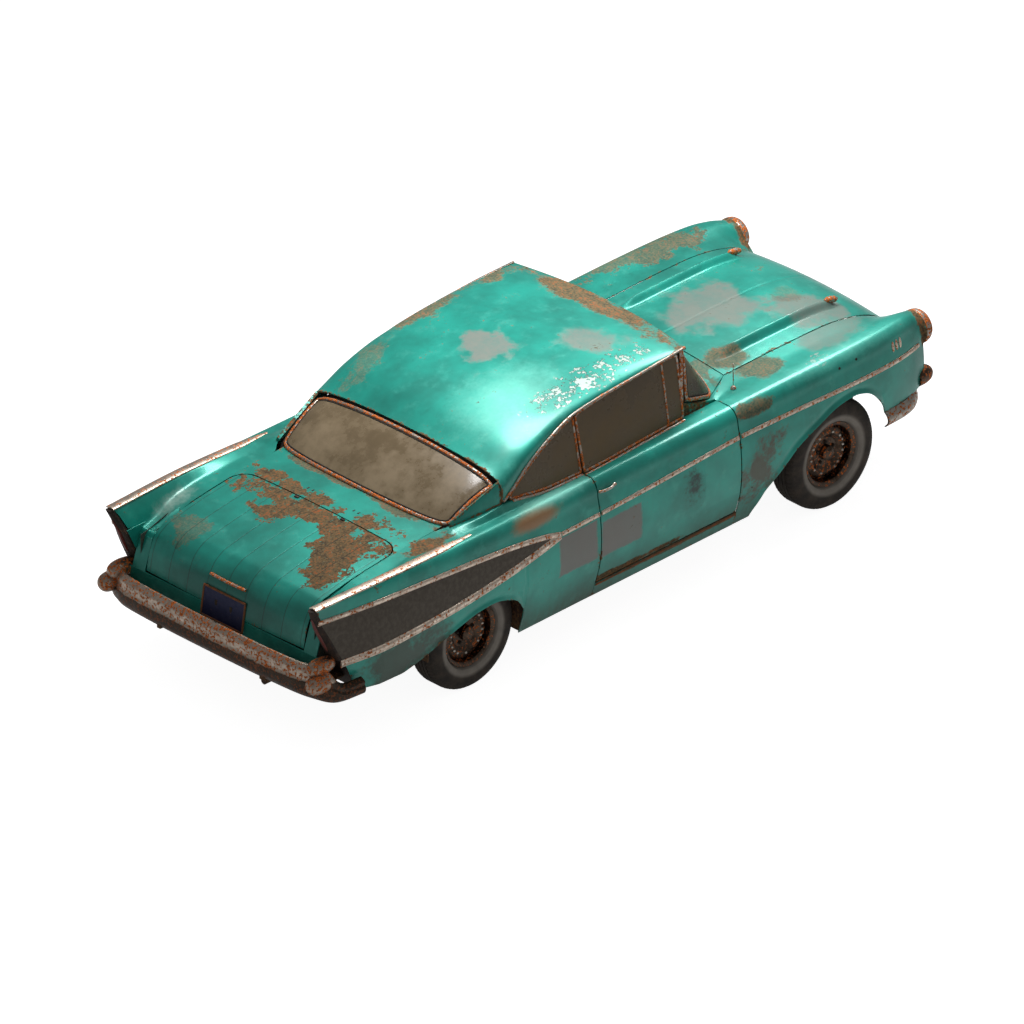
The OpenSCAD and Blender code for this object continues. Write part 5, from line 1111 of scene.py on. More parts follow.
for name, side in sides.items():
    for part, lo, hi, owner in (("Fender", doorF + 12, 2392, "root"),
                                ("Door", doorR + 10, doorF - 10, f"{name}_door"),
                                ("Quarter", -590, doorR - 8, "root")):
        x = np.linspace(lo, hi, 60)
        sideStrip(f"{name}{part}Spear", x, curve(spearZ, x), halfRound(*strips["spear"]), "chromeTrim", owner, side)
    x = np.linspace(-2472, -600, 90)
    sideStrip(f"{name}WedgeTop", x, curve(wedgeTop, x), halfRound(*strips["wedgeTop"]), "chromeTrim", side=side)
    x = np.linspace(-2318, -600, 90)
    sideStrip(f"{name}WedgeLow", x, curve(wedgeLow, x), doubleBead(*strips["wedgeLow"]), "chromeTrim", side=side)
    # The wedge's flat insert, slanted at its tail like the fin's end
    f, t = spans(0, 1, 26, 90)
    gx = mix(mix(-2300.0, -2462.0, f), -640.0, t)
    gz = mix(curve(wedgeLow, gx) + 12, np.maximum(curve(wedgeTop, gx) - 10, curve(wedgeLow, gx) + 14), f)
    shell(f"{name}WedgeInsert", skinGrid(gx, gz, 1.6), skinGrid(gx, gz, -1.5), "insert", side=side)
    # Bright cap along the top of the fin
    x = np.linspace(-1230, tailEnd - 8, 80)
    y = mix(curve(crownOut, x), curve(crownIn, x), 0.45)
    cap = np.stack([x, y, curve(crownZ, x) + 0.5], -1)
    k = 0.35 + 0.65 * smooth(-x, 1230, 1480)
    sweep(f"{name}FinCap", cap, (0, 0, 1), halfRound(*strips["finCap"]), "chromeTrim", scale=k, side=side)
    # Strip along the rocker and three raised ovals behind the headlamp
    x = np.linspace(doorR + 4, doorF - 4, 60)
    sideStrip(f"{name}RockerStrip", x, np.full_like(x, 312.0), halfRound(*strips["rocker"]), "rustStrip", side=side,
              lift=2)
    for number, at in enumerate(louvres["places"]):
        z = np.linspace(louvres["low"], louvres["high"], 16)
        x = np.full_like(z, at)
        sweep(f"{name}Louvre{number}", onSkin(x, z, 0), skinNormal(x, z), halfRound(*strips["louvre"]), "chromeTrim",
              scale=np.sqrt(np.maximum(0.03, 1 - ((z - 894) / 33) ** 2)), side=side)
    for number, (at, high) in enumerate(((1700, 942), (1840, 944))):
        spot, out = skinSpot(at, high)
        lathe(f"{name}TrimHole{number}", [[0, 1.2], [8, 1.2], [9, -1], [0, -1]], 20, spot, out, "seal", side=side)
    # Door handle: a bowed grip with its button
    t = np.linspace(0, 1, 26)
    x, z = mix(grip["rear"], grip["front"], t), np.full(26, grip["z"])
    path = onSkin(x, z) + skinNormal(x, z) * (-2 + grip["bow"] * np.sin(t * math.pi) ** 0.45)[:, None]
    sweep(f"{name}DoorGrip", path, (0, 0, 1), roundProfile(6.5, 12) * (1, 1.3), "chromeTired", f"{name}_door",
          side=side)
    spot, out = skinSpot(grip["button"], grip["z"])
    lathe(f"{name}DoorButton", [[0, 9], [7, 8], [10, 4], [11, -1], [0, -1]], 24, spot, out, "chromeTired",
          f"{name}_door", side=side)
    # Painted rocker below the door
    x, f = spans(doorR - 3.5, doorF + 3.5, 60, 12)
    z = mix(231, body["doorLow"] - body["doorGap"] - 1, f)
    rocker = skinGrid(x, z, 1.4)
    shell(f"{name}Rocker", rocker, skinGrid(x, z, -2), "rocker", side=side, slot="paint",
          edge=np.tile(borderDistance(rocker).ravel(), 2))
    # Jamb behind the door's rear edge, the seal between the two panes and the trunk's side wall
    x, f = spans(doorR - 34, doorR + 18, 8, 20)
    panel(f"{name}DoorJamb", np.stack([x, np.full_like(x, doorIn(doorR + 18) - 16), mix(300, belt - 26, f)], -1), 4,
          "interior", side=side, slot="paint")
    z = np.linspace(belt - 20, float(curve(dripZ, doorR)) - 14, 20)
    share = (z - belt) / (curve(dripZ, doorR) - belt)
    y = mix(curve(glassLowY, doorR), curve(glassTopY, doorR), share) - 16
    sweep(f"{name}PaneSeal", np.stack([np.full_like(z, doorR), y, z], -1), (0, 1, 0), halfRound(26, 4, 2), "seal",
          side=side, slot="rubber")
    x, f = spans(-2372, axR - 380, 24, 12)
    panel(f"{name}TrunkSide", np.stack([x, np.full_like(x, 706.0), mix(430, curve(seatZ, x) - 24, f)], -1), 4,
          "interior", side=side, slot="paint")
    z = np.linspace(236, 470, 8)
    wheelhouse = [(600, 470), (600, 236)] + list(zip(skinY(np.full(8, archEnd + 10), z) - 10, z))
    plate(f"{name}WheelhouseFront", wheelhouse, "yz", archEnd + 8, archEnd + 12, "underbody", side=side,
          slot="underbody")
    # Closes the seam between cowl and fender from below
    x, f = spans(822, hoodR + 4, 30, 8)
    y = mix(mix(688, seamY(hoodR), (x - 816) / (hoodR - 816)) - 22, np.maximum(seamY(x), 690) + 14, f)
    panel(f"{name}CowlSeam", np.stack([x, y, topZ(x, y) - 9], -1), 3, "tailPaint", side=side, slot="paint")
sweep("antennaStub", [(1035, -690, 998), (1035, -690, 1080), (1034, -691, 1166)], (0, 1, 0), roundProfile(3.2, 10),
      "chromeTired")
lathe("antennaFoot", [[0, 14], [9, 12], [16, 3], [17, -3], [0, -3]], 24, (1035, -690, 1004), (0, 0, 1), "chromeTired")
print("side trim made")

# Fin ends: a slanted dark housing with a narrow faded lens
f, t = spans(0, 1, 40, 18)
hz = mix(641, belt + finRise - 4, f)
outer = skinY(tailEnd + tailCut(hz), hz)


# Inner side of the fin's end: upright to 150 mm below the belt, then straight to the crown's inner line
def finInner(z):
    return mix(752, float(curve(crownIn, tailEnd)), np.maximum(0, z - belt + 150) / (150 + finRise))


inward = np.maximum(742, np.minimum(outer - 4, finInner(hz)))
housing = np.stack([tailEnd + tailCut(hz) - 24 - 14 * np.sin(math.pi * t) ** 0.6, mix(outer, inward, t), hz], -1)
flat = housing.copy()
flat[..., 0] = tailEnd + tailCut(hz) - 0.3
for name, side in sides.items():
    shell(f"{name}FinHousing", housing, flat, "housing", side=side,
          replaces=["tail_lights"] if side > 0 else (), slot="tail_lamp")
    z = np.linspace(700, 960, 40)
    x = tailEnd + tailCut(z) - 40
    y = (skinY(tailEnd + tailCut(z), z) + np.maximum(752, finInner(z))) / 2
    sweep(f"{name}TailLens", np.stack([x, y, z], -1), (-1, 0, -0.4), halfRound(26, 9, 6), "redLens",
          scale=np.sqrt(np.maximum(0.02, 1 - ((z - 830) / 131) ** 2)) * 0.9 + 0.1, side=side, slot="tail_lamp")
    # Inner wall of the fin's end, the slope from the quarter's edge down to the post, and the closed lower corner
    line = [(tailEnd + tailCut(z) - 14, z) for z in (748, 800, 893)] + [(-2296, 893), (-2332, 838)]
    plate(f"{name}FinInner", line, "xz", 744, 748, "tailPaint", side=side, slot="paint")
    # The wall's rear edge is joined to the housing above, and to the slope beside the lid below
    f = np.linspace(0, 1, 10)[None, :, None]
    ends = quarter[0][quarterInner]
    shelf = ends[ends[:, 1] <= 753]
    foot = np.stack([np.full(len(shelf), -2336.0), shelf[:, 1], np.full(len(shelf), 838.0)], -1)
    bulge = np.array((0, 0, 12)) * np.sin(math.pi * f)
    panel(f"{name}LidShoulder", mix(shelf[:, None] + (4, 0, -1), foot[:, None], f) + bulge, 4, "tailPaint", side=side,
          slot="paint")
    rise = ends[ends[:, 1] >= 750]
    z = mix(893, rise[0, 2], np.linspace(1, 0, len(rise)))
    far = np.stack([tailEnd + tailCut(z) + 6, np.maximum(748, finInner(z)), z], -1)
    panel(f"{name}FinFill", mix(rise[:, None] + (3, 0, 0), far[:, None], f), 4, "tailPaint", side=side, slot="paint")
    z, t = spans(398, 646, 24, 8)
    low = tailEnd + tailCut(z) + 5
    panel(f"{name}TailCorner", np.stack([low, mix(skinY(low, z) - 6, 640, t), z], -1), 5, "housing", side=side,
          slot="paint")
    # Painted gutter under the lid's edge
    x, f = spans(-2278, trunkF - 150, 60, 10)
    z = np.minimum(curve(seatZ, x), curve(deckSideZ, x)) - 9 - 5 * np.sin(math.pi * f)
    panel(f"{name}LidGutter", np.stack([x, mix(612, 672, f), z], -1), 3, "tailPaint", side=side, slot="paint")


# Bumper bar: a curved section carried along a bent path; share 0 is its lower edge, 1 its upper
def bumperBar(name, half, section, forward, material, node):
    half = np.array(half, float)
    path = np.vstack([half[:0:-1], half * (1, -1, 1, 1)])
    path = through(list(path), 150)
    for _ in range(4):
        path[1:-1] = (path[:-2] + 2 * path[1:-1] + path[2:]) / 4
    d = unit(np.gradient(path[:, :2], axis=0))
    out = np.stack([-d[:, 1], d[:, 0]], -1)
    if out[75, 0] * forward < 0:
        out = -out
    q = np.linspace(0, 1, 28)
    depth = curve(section, q)
    grids = []
    for thick in (0, 12):
        xy = path[:, None, :2] + out[:, None] * (depth[:, None] - thick)
        z = path[:, None, 2] + (path[:, None, 3] - path[:, None, 2]) * q[None, :]
        grids.append(np.stack([xy[..., 0], xy[..., 1], z], -1))
    return shell(name, *grids, mats[material], replaces=[node])


# Bent paths of the bumpers from the middle to the right: along, across, and the bar's lower and upper height
rearHalf = [[tailX + 40, 0, 428, 632], [tailX + 44, 400, 428, 632], [tailX + 60, 680, 425, 632],
            [tailX + 95, 790, 415, 625], [tailX + 150, 862, 396, 590], [tailX + 230, 892, 384, 500],
            [tailX + 378, 905, 380, 490]]
frontHalf = [[noseX - 60, 0, 392, 508], [noseX - 66, 400, 392, 508], [noseX - 90, 640, 395, 508],
             [noseX - 140, 760, 400, 508], [noseX - 230, 850, 404, 508], [noseX - 330, 890, 408, 508],
             [noseX - 500, 904, 412, 508]]
bumperBar("rearBumperBar", rearHalf, [[0, -4], [0.2, 22], [0.5, 30], [0.62, 20], [0.85, 20], [1, -6]], -1,
          "bumperRear", "rear_bumper")
bumperBar("frontBumperBar", frontHalf, [[0, -4], [0.25, 18], [0.5, 24], [0.8, 12], [1, -8]], 1, "chromeTired",
          "front_bumper")
rearBullet = noseProfile([(0, 0), (30, 5), (50, 28), (58, 62), (59, 118), (50, 130), (0, 132)], 40)
frontBullet = noseProfile([(0, 0), (26, 5), (48, 32), (58, 70), (59, 118), (50, 128), (0, 130)], 40)
rearHorn = noseProfile([(0, 0), (28, 6), (44, 30), (52, 70), (50, 130), (36, 186), (0, 206)], 40)
lens = noseProfile([(0, 58), (30, 56), (58, 50), (76, 42), (81, 34), (81, 22), (0, 22)], 36)
ridgeBullet = noseProfile([(0, 0), (13, 8), (20, 40), (17, 86), (0, 112)], 28)
bezel = [[82, 0], [104, 0], [106, 8], [105, 24], [100, 42], [92, 54], [84, 56], [80, 44], [80, 20]]
lampAt = (fenderF + 0.3, lamp["y"], lamp["z"])
for name, side in sides.items():
    for part, profile, spot, look in (("RearBullet", rearBullet, (tailX, 842, 540), "chromeBullet"),
                                      ("RearBumperHorn", rearHorn, (tailX + 34, 806, 622), "chromeBullet"),
                                      ("FrontBullet", frontBullet, (noseX, 560, 455), "chromeTired"),
                                      ("FrontBumperGuard", frontBullet, (noseX - 34, 796, 560), "guard")):
        lathe(name + part, profile, 40, spot, (-np.sign(spot[0]), 0, 0), mats[look], side=side)
    block(f"{name}RearBumperArm", (tailX + 42, 400, 412), (tailX + 330, 430, 456), "underbody", side=side,
          slot="underbody")
    block(f"{name}FrontBumperArm", (axF + 546, 400, 370), (noseX - 74, 430, 410), "underbody", side=side,
          slot="underbody")
    lathe(f"{name}LampBezel", bezel, 56, lampAt, (1, 0, 0), "chromeRusty", closed=True, side=side,
          replaces=["headlights"] if side > 0 else ())
    lathe(f"{name}LampLens", lens, 56, lampAt, (1, 0, 0), "lens", side=side, slot="lamp")
    lathe(f"{name}RidgeBullet", ridgeBullet, 28, (2176, body["ridgeY"], 1008), (-1, 0, 0.28), "chromeRusty", "hood",
          side=side)
for number in range(4):
    z = 563 + number * 42
    path = [(fenderF + 14, y, z) for y in np.linspace(-598, 598, 30)]
    sweep(f"grilleBar{number}", path, (1, 0, 0), halfRound(16, 9, 3), "chromeTired")
# Painted panel from the hood's front edge down to the grille, and the dark core behind the bars
nose = dict(top=4, low=14, behind=150)
y, t = spans(-547, 547, 60, 10)
x = mix(hoodF + nose["top"], fenderF + nose["low"], t ** 0.6)
z = mix(topZ(np.full_like(y, hoodF), y) - 4, 768 - 6 * (np.abs(y) / 560) ** 4, t ** 1.4)
panel("nosePanel", np.stack([x, y, z], -1), 3, "rocker", slot="paint")
y, t = spans(-590, 590, 30, 12)
panel("grilleCore", np.stack([fenderF - nose["behind"] + 6 * np.cos(y / 9), y, mix(420, 766, t)], -1), 4, "iron")
x = np.linspace(-560, 560, 60)
sweep("grilleHeader", [(fenderF + 17, y, 762 - 6 * (abs(y) / 560) ** 4) for y in x], (1, 0, 0.2),
      halfRound(24, 10, 3), "chromeTired")
# A plain pull on the lid and the blank plate in its rusty frame
pull = dict(half=140, x=-2366, z=826, bow=5)
path = [(pull["x"] - pull["bow"] * math.cos(y / pull["half"] * 1.57), y, pull["z"])
        for y in np.linspace(-pull["half"], pull["half"], 30)]
sweep("lidPull", path, (-1, 0, 0.35), halfRound(18, 13, 8), "chromeRusty", "trunk_lid")
plateTop, plateLow, plateHalf = np.array((-2396.0, 0, 758)), np.array((-2424.0, 0, 577)), 166
points = [at + (back, y, 0) for back in (0, 3) for at, y in (
    (plateTop, plateHalf), (plateTop, -plateHalf), (plateLow, -plateHalf), (plateLow, plateHalf))]
boxFaces = np.array([[0, 1, 2, 3], [7, 6, 5, 4], [0, 4, 5, 1], [1, 5, 6, 2], [2, 6, 7, 3], [3, 7, 4, 0]])
putMesh("blankPlate", points, boxFaces, "plate", "trunk_lid")
edge = [mix(a, b, t) for a, b in zip(points[:4], points[1:4] + points[:1]) for t in np.linspace(0, 1, 12)[:-1]]
sweep("plateFrame", np.array(edge), (-1, 0, 0.15), halfRound(13, 5, 4), "rustStrip", "trunk_lid", loop=True)
for y in (-60, 60):
    block(f"plateBracket{'Left' if y > 0 else 'Right'}", (-2410, y - 10, 640), (-2380, y + 10, 700), "iron",
          "trunk_lid")
print("bumpers and lamps made")

# Wheels and tyres
hubR, beadR, rimR, rimW, tyreHalf = 34, 190, 200, 150, 102.5
nuts = dict(count=5, ring=66, turn=0.3)
beads = dict(count=22, ring=128, missing=(7, 9, 10))
whiteRing = dict(radius=226, width=24)
rimRow = [[0, 40], [hubR, 40], [hubR, 20], [88, 14], [120, 34], [150, 30], [beadR - 14, 6],
          [beadR - 14, -rimW / 2 + 8], [rimR - 8, -rimW / 2], [rimR, -rimW / 2], [rimR, -rimW / 2 + 8],
          [beadR, -rimW / 2 + 18], [beadR, rimW / 2 - 18], [rimR, rimW / 2 - 8], [rimR, rimW / 2],
          [rimR - 8, rimW / 2], [beadR - 14, rimW / 2 - 12], [beadR - 14, 18], [152, 40], [118, 44], [90, 24],
          [hubR + 12, 26], [hubR + 12, 60], [hubR - 2, 70], [20, 74], [0, 74]]
tyreRow = [[beadR + 1, rimW / 2 - 19], [rimR + 0.5, rimW / 2 - 9], [rimR + 12, tyreHalf - 14],
           [rimR + 36, tyreHalf - 4], [rimR + 60, tyreHalf], [tyreR - 52, tyreHalf - 3], [tyreR - 18, tyreHalf - 16],
           [tyreR - 5, tyreHalf - 34]]
tread = []
for groove in (-44, -15, 15, 44):
    tread += [[tyreR, groove + 5], [tyreR - 6, groove + 3], [tyreR - 6, groove - 3], [tyreR, groove - 5]]
tread = sorted(tread, key=lambda p: -p[1])
tyreRow = np.array(tyreRow + tread + [[r, -z] for r, z in tyreRow[::-1]])


# Slits across the tread's shoulders: 72 round the tyre, 5 mm deep
def blockTread(a, r, across):
    shoulderBlock = (np.abs(across) > 46) & (r > tyreR - 8)
    return r - np.where(shoulderBlock & (np.cos(a * 72) > 0.72), 5.0, 0), across


for end, at in (("front", axF), ("rear", axR)):
    for name, side in sides.items():
        owner = f"{end}_{name}_wheel"
        centre = (at, wheelY, tyreR)
        lathe(f"{end}{name.title()}Rim", rimRow, 72, centre, (0, 1, 0), "rim", owner, side=side,
              replaces=[f"{end}_{name}_wheel"], slot="rim")
        near = np.exp(-((tyreRow[:, 0] - whiteRing["radius"]) / whiteRing["width"]) ** 2) * (tyreRow[:, 1] > 40)
        lathe(f"{end}{name.title()}Tyre", tyreRow, 288, centre, (0, 1, 0), "rubber", owner, closed=True,
              shape=blockTread, side=side, edge=np.tile(near, 288), replaces=[f"{end}_{name}_tyre"], slot="rubber")
        for number in range(nuts["count"]):
            a = number * math.tau / nuts["count"] + nuts["turn"]
            spot = (at + nuts["ring"] * math.cos(a), wheelY + 20, tyreR + nuts["ring"] * math.sin(a))
            lathe(f"{end}{name.title()}Nut{number}", [[0, 20], [6, 20], [11, 14], [11, 0], [0, 0]], 6, spot,
                  (0, 1, 0), "iron", owner, side=side, slot="rim")
        for number in range(beads["count"]):
            a = number * math.tau / beads["count"] + 0.5 * at
            if number % 11 in beads["missing"]:
                continue
            spot = (at + beads["ring"] * math.cos(a), wheelY + 42, tyreR + beads["ring"] * math.sin(a))
            lathe(f"{end}{name.title()}Bead{number}", [[0, 9], [6, 7.5], [10, 3], [10.5, -2], [0, -2]], 12, spot,
                  (0, 1, 0), "chromeTired", owner, side=side, slot="rim")
print("wheels made")


# Gooseneck hinge arm: a barrel round the pin, a leg that swings clear and a foot under the panel
def armOutline(reach, drop, rise, deep=False):
    a = np.linspace(0, math.pi * (1.5 if deep else 1.0), 16)
    barrel = [(9 * math.cos(k), 9 * math.sin(k)) for k in a]
    leg = [(4, -19), (-31, -drop + 12)] if deep else [(-8, -20), (-38, -84), (-50, -drop + 12)]
    back = [(-20, -drop - 4), (17, -25)] if deep else [(-42, -drop - 4), (8, -30)]
    return barrel + leg + [(-reach, -drop + 12), (-reach, rise), (-reach - 14, rise), (-reach - 14, -drop - 4)] + back


hingeBack, hingeDepth = 100, 21
armPlates = dict(inner=170, thick=30, ear=8, gap=1)
hingeX = doorF - 4 + hingeBack
hingeY = float(curve(wide, hingeX)) - hingeDepth
hoodHingeX, lidHingeX = hoodR + 4 - hingeBack, trunkF - 4 + hingeBack
hoodHingeZ = float(curve(hoodZ, hoodHingeX)) + 31 - hingeDepth
lidHingeZ = float(curve(deckSideZ, lidHingeX)) + 13 - hingeDepth
for name, side in sides.items():
    for z in (470, 760):
        outline = [(hingeX + px, hingeY + py) for px, py in armOutline(hingeBack - 1, 106, -91, True)]
        plate(f"{name}DoorArm{z}", outline, "xy", z, z + 34, "iron", f"{name}_door", side, slot="paint")
        foot = firewallX + 10 - hingeX
        ear = [(9 * math.cos(a), 9 * math.sin(a))
               for a in np.linspace(0, math.pi * 1.3, 12)] + [(foot - 12, -100), (foot, -100), (foot, -70)]
        for low in (z - 9, z + 35):
            plate(f"{name}DoorEar{low}", [(hingeX + px, hingeY + py) for px, py in ear], "xy", low, low + 8, "iron",
                  side=side, slot="paint")
        lathe(f"{name}DoorPin{z}", [[0, 0], [5, 0], [5, 52], [0, 52]], 20, (hingeX, hingeY, z - 9), (0, 0, 1), "iron",
              side=side, slot="paint")
    for part, hx, hz, reach, drop, rise, flip, owner in (("Hood", hoodHingeX, hoodHingeZ, 106, 102, 19, -1, "hood"),
                                                         ("Lid", lidHingeX, lidHingeZ, 106, 108, 22, 1, "trunk_lid")):
        outline = [(hx + flip * px, hz + py) for px, py in armOutline(reach, drop, rise)]
        inner, outer = armPlates["inner"], armPlates["inner"] + armPlates["thick"]
        plate(f"{name}{part}Arm", outline, "xz", inner, outer, "iron", owner, side, slot="paint")
        top = 19 if part == "Hood" else 24
        ear = [(9 * math.cos(a), 9 * math.sin(a)) for a in np.linspace(math.pi, math.tau, 12)] + [(9, top), (-9, top)]
        for low in (inner - armPlates["gap"] - armPlates["ear"], outer + armPlates["gap"]):
            plate(f"{name}{part}Ear{low}", [(hx + px, hz + py) for px, py in ear], "xz", low, low + armPlates["ear"],
                  "iron", side=side, slot="paint")
        lathe(f"{name}{part}Pin", [[0, 0], [5, 0], [5, 48], [0, 48]], 20, (hx, inner - 9, hz), (0, 1, 0), "iron",
              side=side, slot="paint")
    block(f"{name}KickPanel", (doorF - 1.7, 689, 270.5), (firewallX + 10, 709, belt - 22), "interior", radius=2,
          side=side, slot="paint")
    post = [(-2402.5, 640), (-2394.5, 640), (-2330.5, 838), (-2338.5, 838)]
    plate(f"{name}LidPost", post, "xz", 644, 744, "tailPaint", side=side, slot="paint")
    # Inner card of the door with its arm rest and window crank
    x = np.linspace(doorR + 24, doorF - 60, 40)
    card, f = np.meshgrid(x, np.linspace(0, 1, 14), indexing="ij")
    z = mix(body["doorLow"] + 24, belt - 26, f)
    face = np.stack([card, doorIn(card) - 6 - 3 * np.sin(f * math.pi), z], -1)
    shell(f"{name}DoorCard", face, face + (0, 6, 0), "vinyl", f"{name}_door", side, slot="interior")
    rest = np.stack([np.linspace(60, 470, 30), doorIn(np.linspace(60, 470, 30)) - 18, np.full(30, 690.0)], -1)
    sweep(f"{name}ArmRest", rest, (0, 0, 1), roundProfile(24, 16) * (1, 0.8), "vinyl", f"{name}_door",
          scale=np.sin(np.linspace(0.25, math.pi - 0.25, 30)) ** 0.35, side=side, slot="interior")
    lathe(f"{name}WindowCrank", [[0, 0], [16, 0], [16, 8], [6, 12], [6, 34], [0, 34]], 20,
          (560, float(doorIn(560)) - 8, 760), (0, -1, 0), "chromeTired", f"{name}_door", side=side)

# Firewall with the tunnel's mouth and the notches for the hood's arms, parcel shelf and tail panel. Its top falls
# by 40 mm from the middle to 560 mm out
wallTop = dict(middle=1026, fall=40 / 560)
notch = dict(low=163, high=207, z=hoodHingeZ - 37)
half = [(835, 320), (835, 972), (560, wallTop["middle"] - 40),
        (notch["high"], wallTop["middle"] - wallTop["fall"] * notch["high"]), (notch["high"], notch["z"]),
        (notch["low"], notch["z"]), (notch["low"], wallTop["middle"] - wallTop["fall"] * notch["low"])]
outline = ([(-150, 260), (-130, 370), (130, 370), (150, 260), (170, 260)] + half + [(0, wallTop["middle"])]
           + [(-a, b) for a, b in half[::-1]] + [(-170, 260)])
plate("firewall", outline, "yz", firewallX + 9.8, firewallX + 19.8, "interior", slot="paint")
block("parcelShelf", (deckF + 20, -620, belt - 76), (deckF + 440, 620, belt - 68), "vinyl", radius=2, slot="interior")
block("shelfFront", (deckF + 20, -620, belt - 76), (deckF + 28, 620, belt - 4), "interior", radius=2, slot="paint")
block("tailPanel", (-2402.5, -760, 470), (-2394.5, 760, 646), "tailPaint", radius=2, slot="paint")
block("tailSill", (-2398, -560, 475), (-2332, 560, 485), "tailPaint", radius=2, slot="paint")
print("hinges and inner panels made")

# Cloth settings of the padding, the voxel size in metres, and the depth and width of a sewn seam in metres
stuffing = dict(pressure=4, quality=4, stiffness=12, frames=20, voxel=0.016, seam=0.006)


def places(mesh):
    co = np.empty(len(mesh.vertices) * 3)
    mesh.vertices.foreach_get("co", co)
    return co.reshape(-1, 3)


# Cushion: a closed rounded block, blown up by the cloth simulator; each vertex moves by what it gives, held
# under the cap. low and high are its corners, lean how far its top moves along the car, channels its sewn seams
def cushion(name, low, high, lean, nodes, channels, soft=40, cap=24):
    (x0, y0, z0), (x1, y1, z1) = low, high
    work = bmesh.new()
    bmesh.ops.create_cube(work, size=1)
    mesh = bpy.data.meshes.new(name)
    for vert in work.verts:
        t = vert.co.z + 0.5
        vert.co = ((mix(x0, x1, vert.co.x + 0.5) + lean * t) / 1000, mix(y0, y1, vert.co.y + 0.5) / 1000,
                   mix(z0, z1, t) / 1000)
    bmesh.ops.bevel(work, geom=work.edges[:], offset=soft / 1000, segments=5, affect="EDGES", profile=0.6)
    work.to_mesh(mesh)
    work.free()
    piece = bpy.data.objects.new(name, mesh)
    bpy.context.scene.collection.objects.link(piece)
    remesh = piece.modifiers.new("even", "REMESH")
    remesh.mode, remesh.voxel_size = "VOXEL", stuffing["voxel"]
    graph = bpy.context.evaluated_depsgraph_get()
    even = bpy.data.meshes.new_from_object(piece.evaluated_get(graph))
    piece.modifiers.clear()
    piece.data = even
    start = places(even)
    cloth = piece.modifiers.new("padding", "CLOTH")
    cloth.settings.use_pressure = True
    cloth.settings.uniform_pressure_force = stuffing["pressure"]
    cloth.settings.effector_weights.gravity = 0
    cloth.settings.quality = stuffing["quality"]
    cloth.settings.tension_stiffness = cloth.settings.compression_stiffness = stuffing["stiffness"]
    cloth.collision_settings.use_collision = False
    cloth.point_cache.frame_start, cloth.point_cache.frame_end = 1, stuffing["frames"]
    for number in range(1, stuffing["frames"] + 1):
        bpy.context.scene.frame_set(number)
    graph = bpy.context.evaluated_depsgraph_get()
    blown = bpy.data.meshes.new_from_object(piece.evaluated_get(graph))
    bpy.context.scene.frame_set(1)
    piece.modifiers.clear()
    moved = places(blown) - start
    length = np.maximum(np.linalg.norm(moved, axis=1, keepdims=True), 1e-9)
    start = start + moved * np.minimum(1, cap / 1000 / length)
    # Sewn channels across the cushion pull its upper and front faces in
    out = unit(start - start.mean(0))
    seams = np.linspace(y0, y1, channels + 2)[1:-1] / 1000
    groove = np.exp(-(np.minimum.reduce([np.abs(start[:, 1] - seam) for seam in seams]) / stuffing["seam"]) ** 2)
    start = start - out * groove[:, None] * stuffing["seam"]
    even.vertices.foreach_set("co", start.ravel())
    even.polygons.foreach_set("use_smooth", np.ones(len(even.polygons), bool))
    even.materials.clear()
    even.materials.append(mats["cloth"])
    even.update()
    fine = piece.modifiers.new("fine", "SUBSURF")
    fine.levels = fine.render_levels = 1
    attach(piece, "root")
    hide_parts(*nodes)
    return piece


seats = dict(frontSeatBase=((-50, -612, 392), (425, 612, 530), 0, ["front_seat"], 7),
             frontSeatBack=((-130, -612, 440), (-50, 612, 880), -105, [], 7, 34, 18),
             rearSeatBase=((axR + 508, -582, 405), (axR + 912, 582, 492), 0, ["rear_seat"], 6, 34, 18),
             rearSeatBack=((axR + 425, -572, 530), (axR + 490, 572, 905), -95, [], 6, 28, 16))
for name, sizes in seats.items():
    cushion(name, *sizes)
for y in (-330, 330):
    place = "Left" if y > 0 else "Right"
    block(f"frontSeatFoot{place}", (-20, y - 30, 270), (340, y + 30, 396), "iron", radius=3, slot="running_gear")
    block(f"rearSeatFoot{place}", (axR + 540, y - 30, 270), (axR + 860, y + 70, 408), "iron", radius=3,
          slot="running_gear")
print("seats made")

# Steering wheel on its tilted axis, dials, and the remaining metal
tilt = math.radians(28)
wheelAt, wheelAxis = np.array((455.0, 370, 850)), np.array((math.cos(tilt), 0, -math.sin(tilt)))
hub = [[0, -12], [30, -12], [42, -2], [42, 40], [30, 48], [12, 50], [12, 480], [0, 480]]
for name, profile, count, look, more in (
        ("steeringRim", roundProfile(11, 16) + (205, 0), 72, "knob", dict(closed=True, replaces=["steering_wheel"])),
        ("steeringHub", hub, 32, "knob", {}),
        ("hornRing", roundProfile(4, 10) + (120, -2), 56, "chromeTired", dict(closed=True))):
    lathe(name, profile, count, wheelAt, wheelAxis, mats[look], "steering_wheel", slot="interior", **more)
acrossWheel, upWheel = np.array((0.0, 1, 0)), np.cross((0.0, 1, 0), wheelAxis)
for number, angle in enumerate((80, 180, 280)):
    a = math.radians(angle)
    ray = upWheel * -math.cos(a) + acrossWheel * math.sin(a)
    sweep(f"steeringSpoke{number}", [wheelAt + ray * r for r in np.linspace(30, 203, 12)], wheelAxis,
          roundProfile(8, 12) * (1, 0.6), "knob", "steering_wheel", slot="interior")
gauges = dict(sizes=((300, 44), (370, 50), (440, 44)), x=673, z=912, axis=(-1, 0, 0.2))
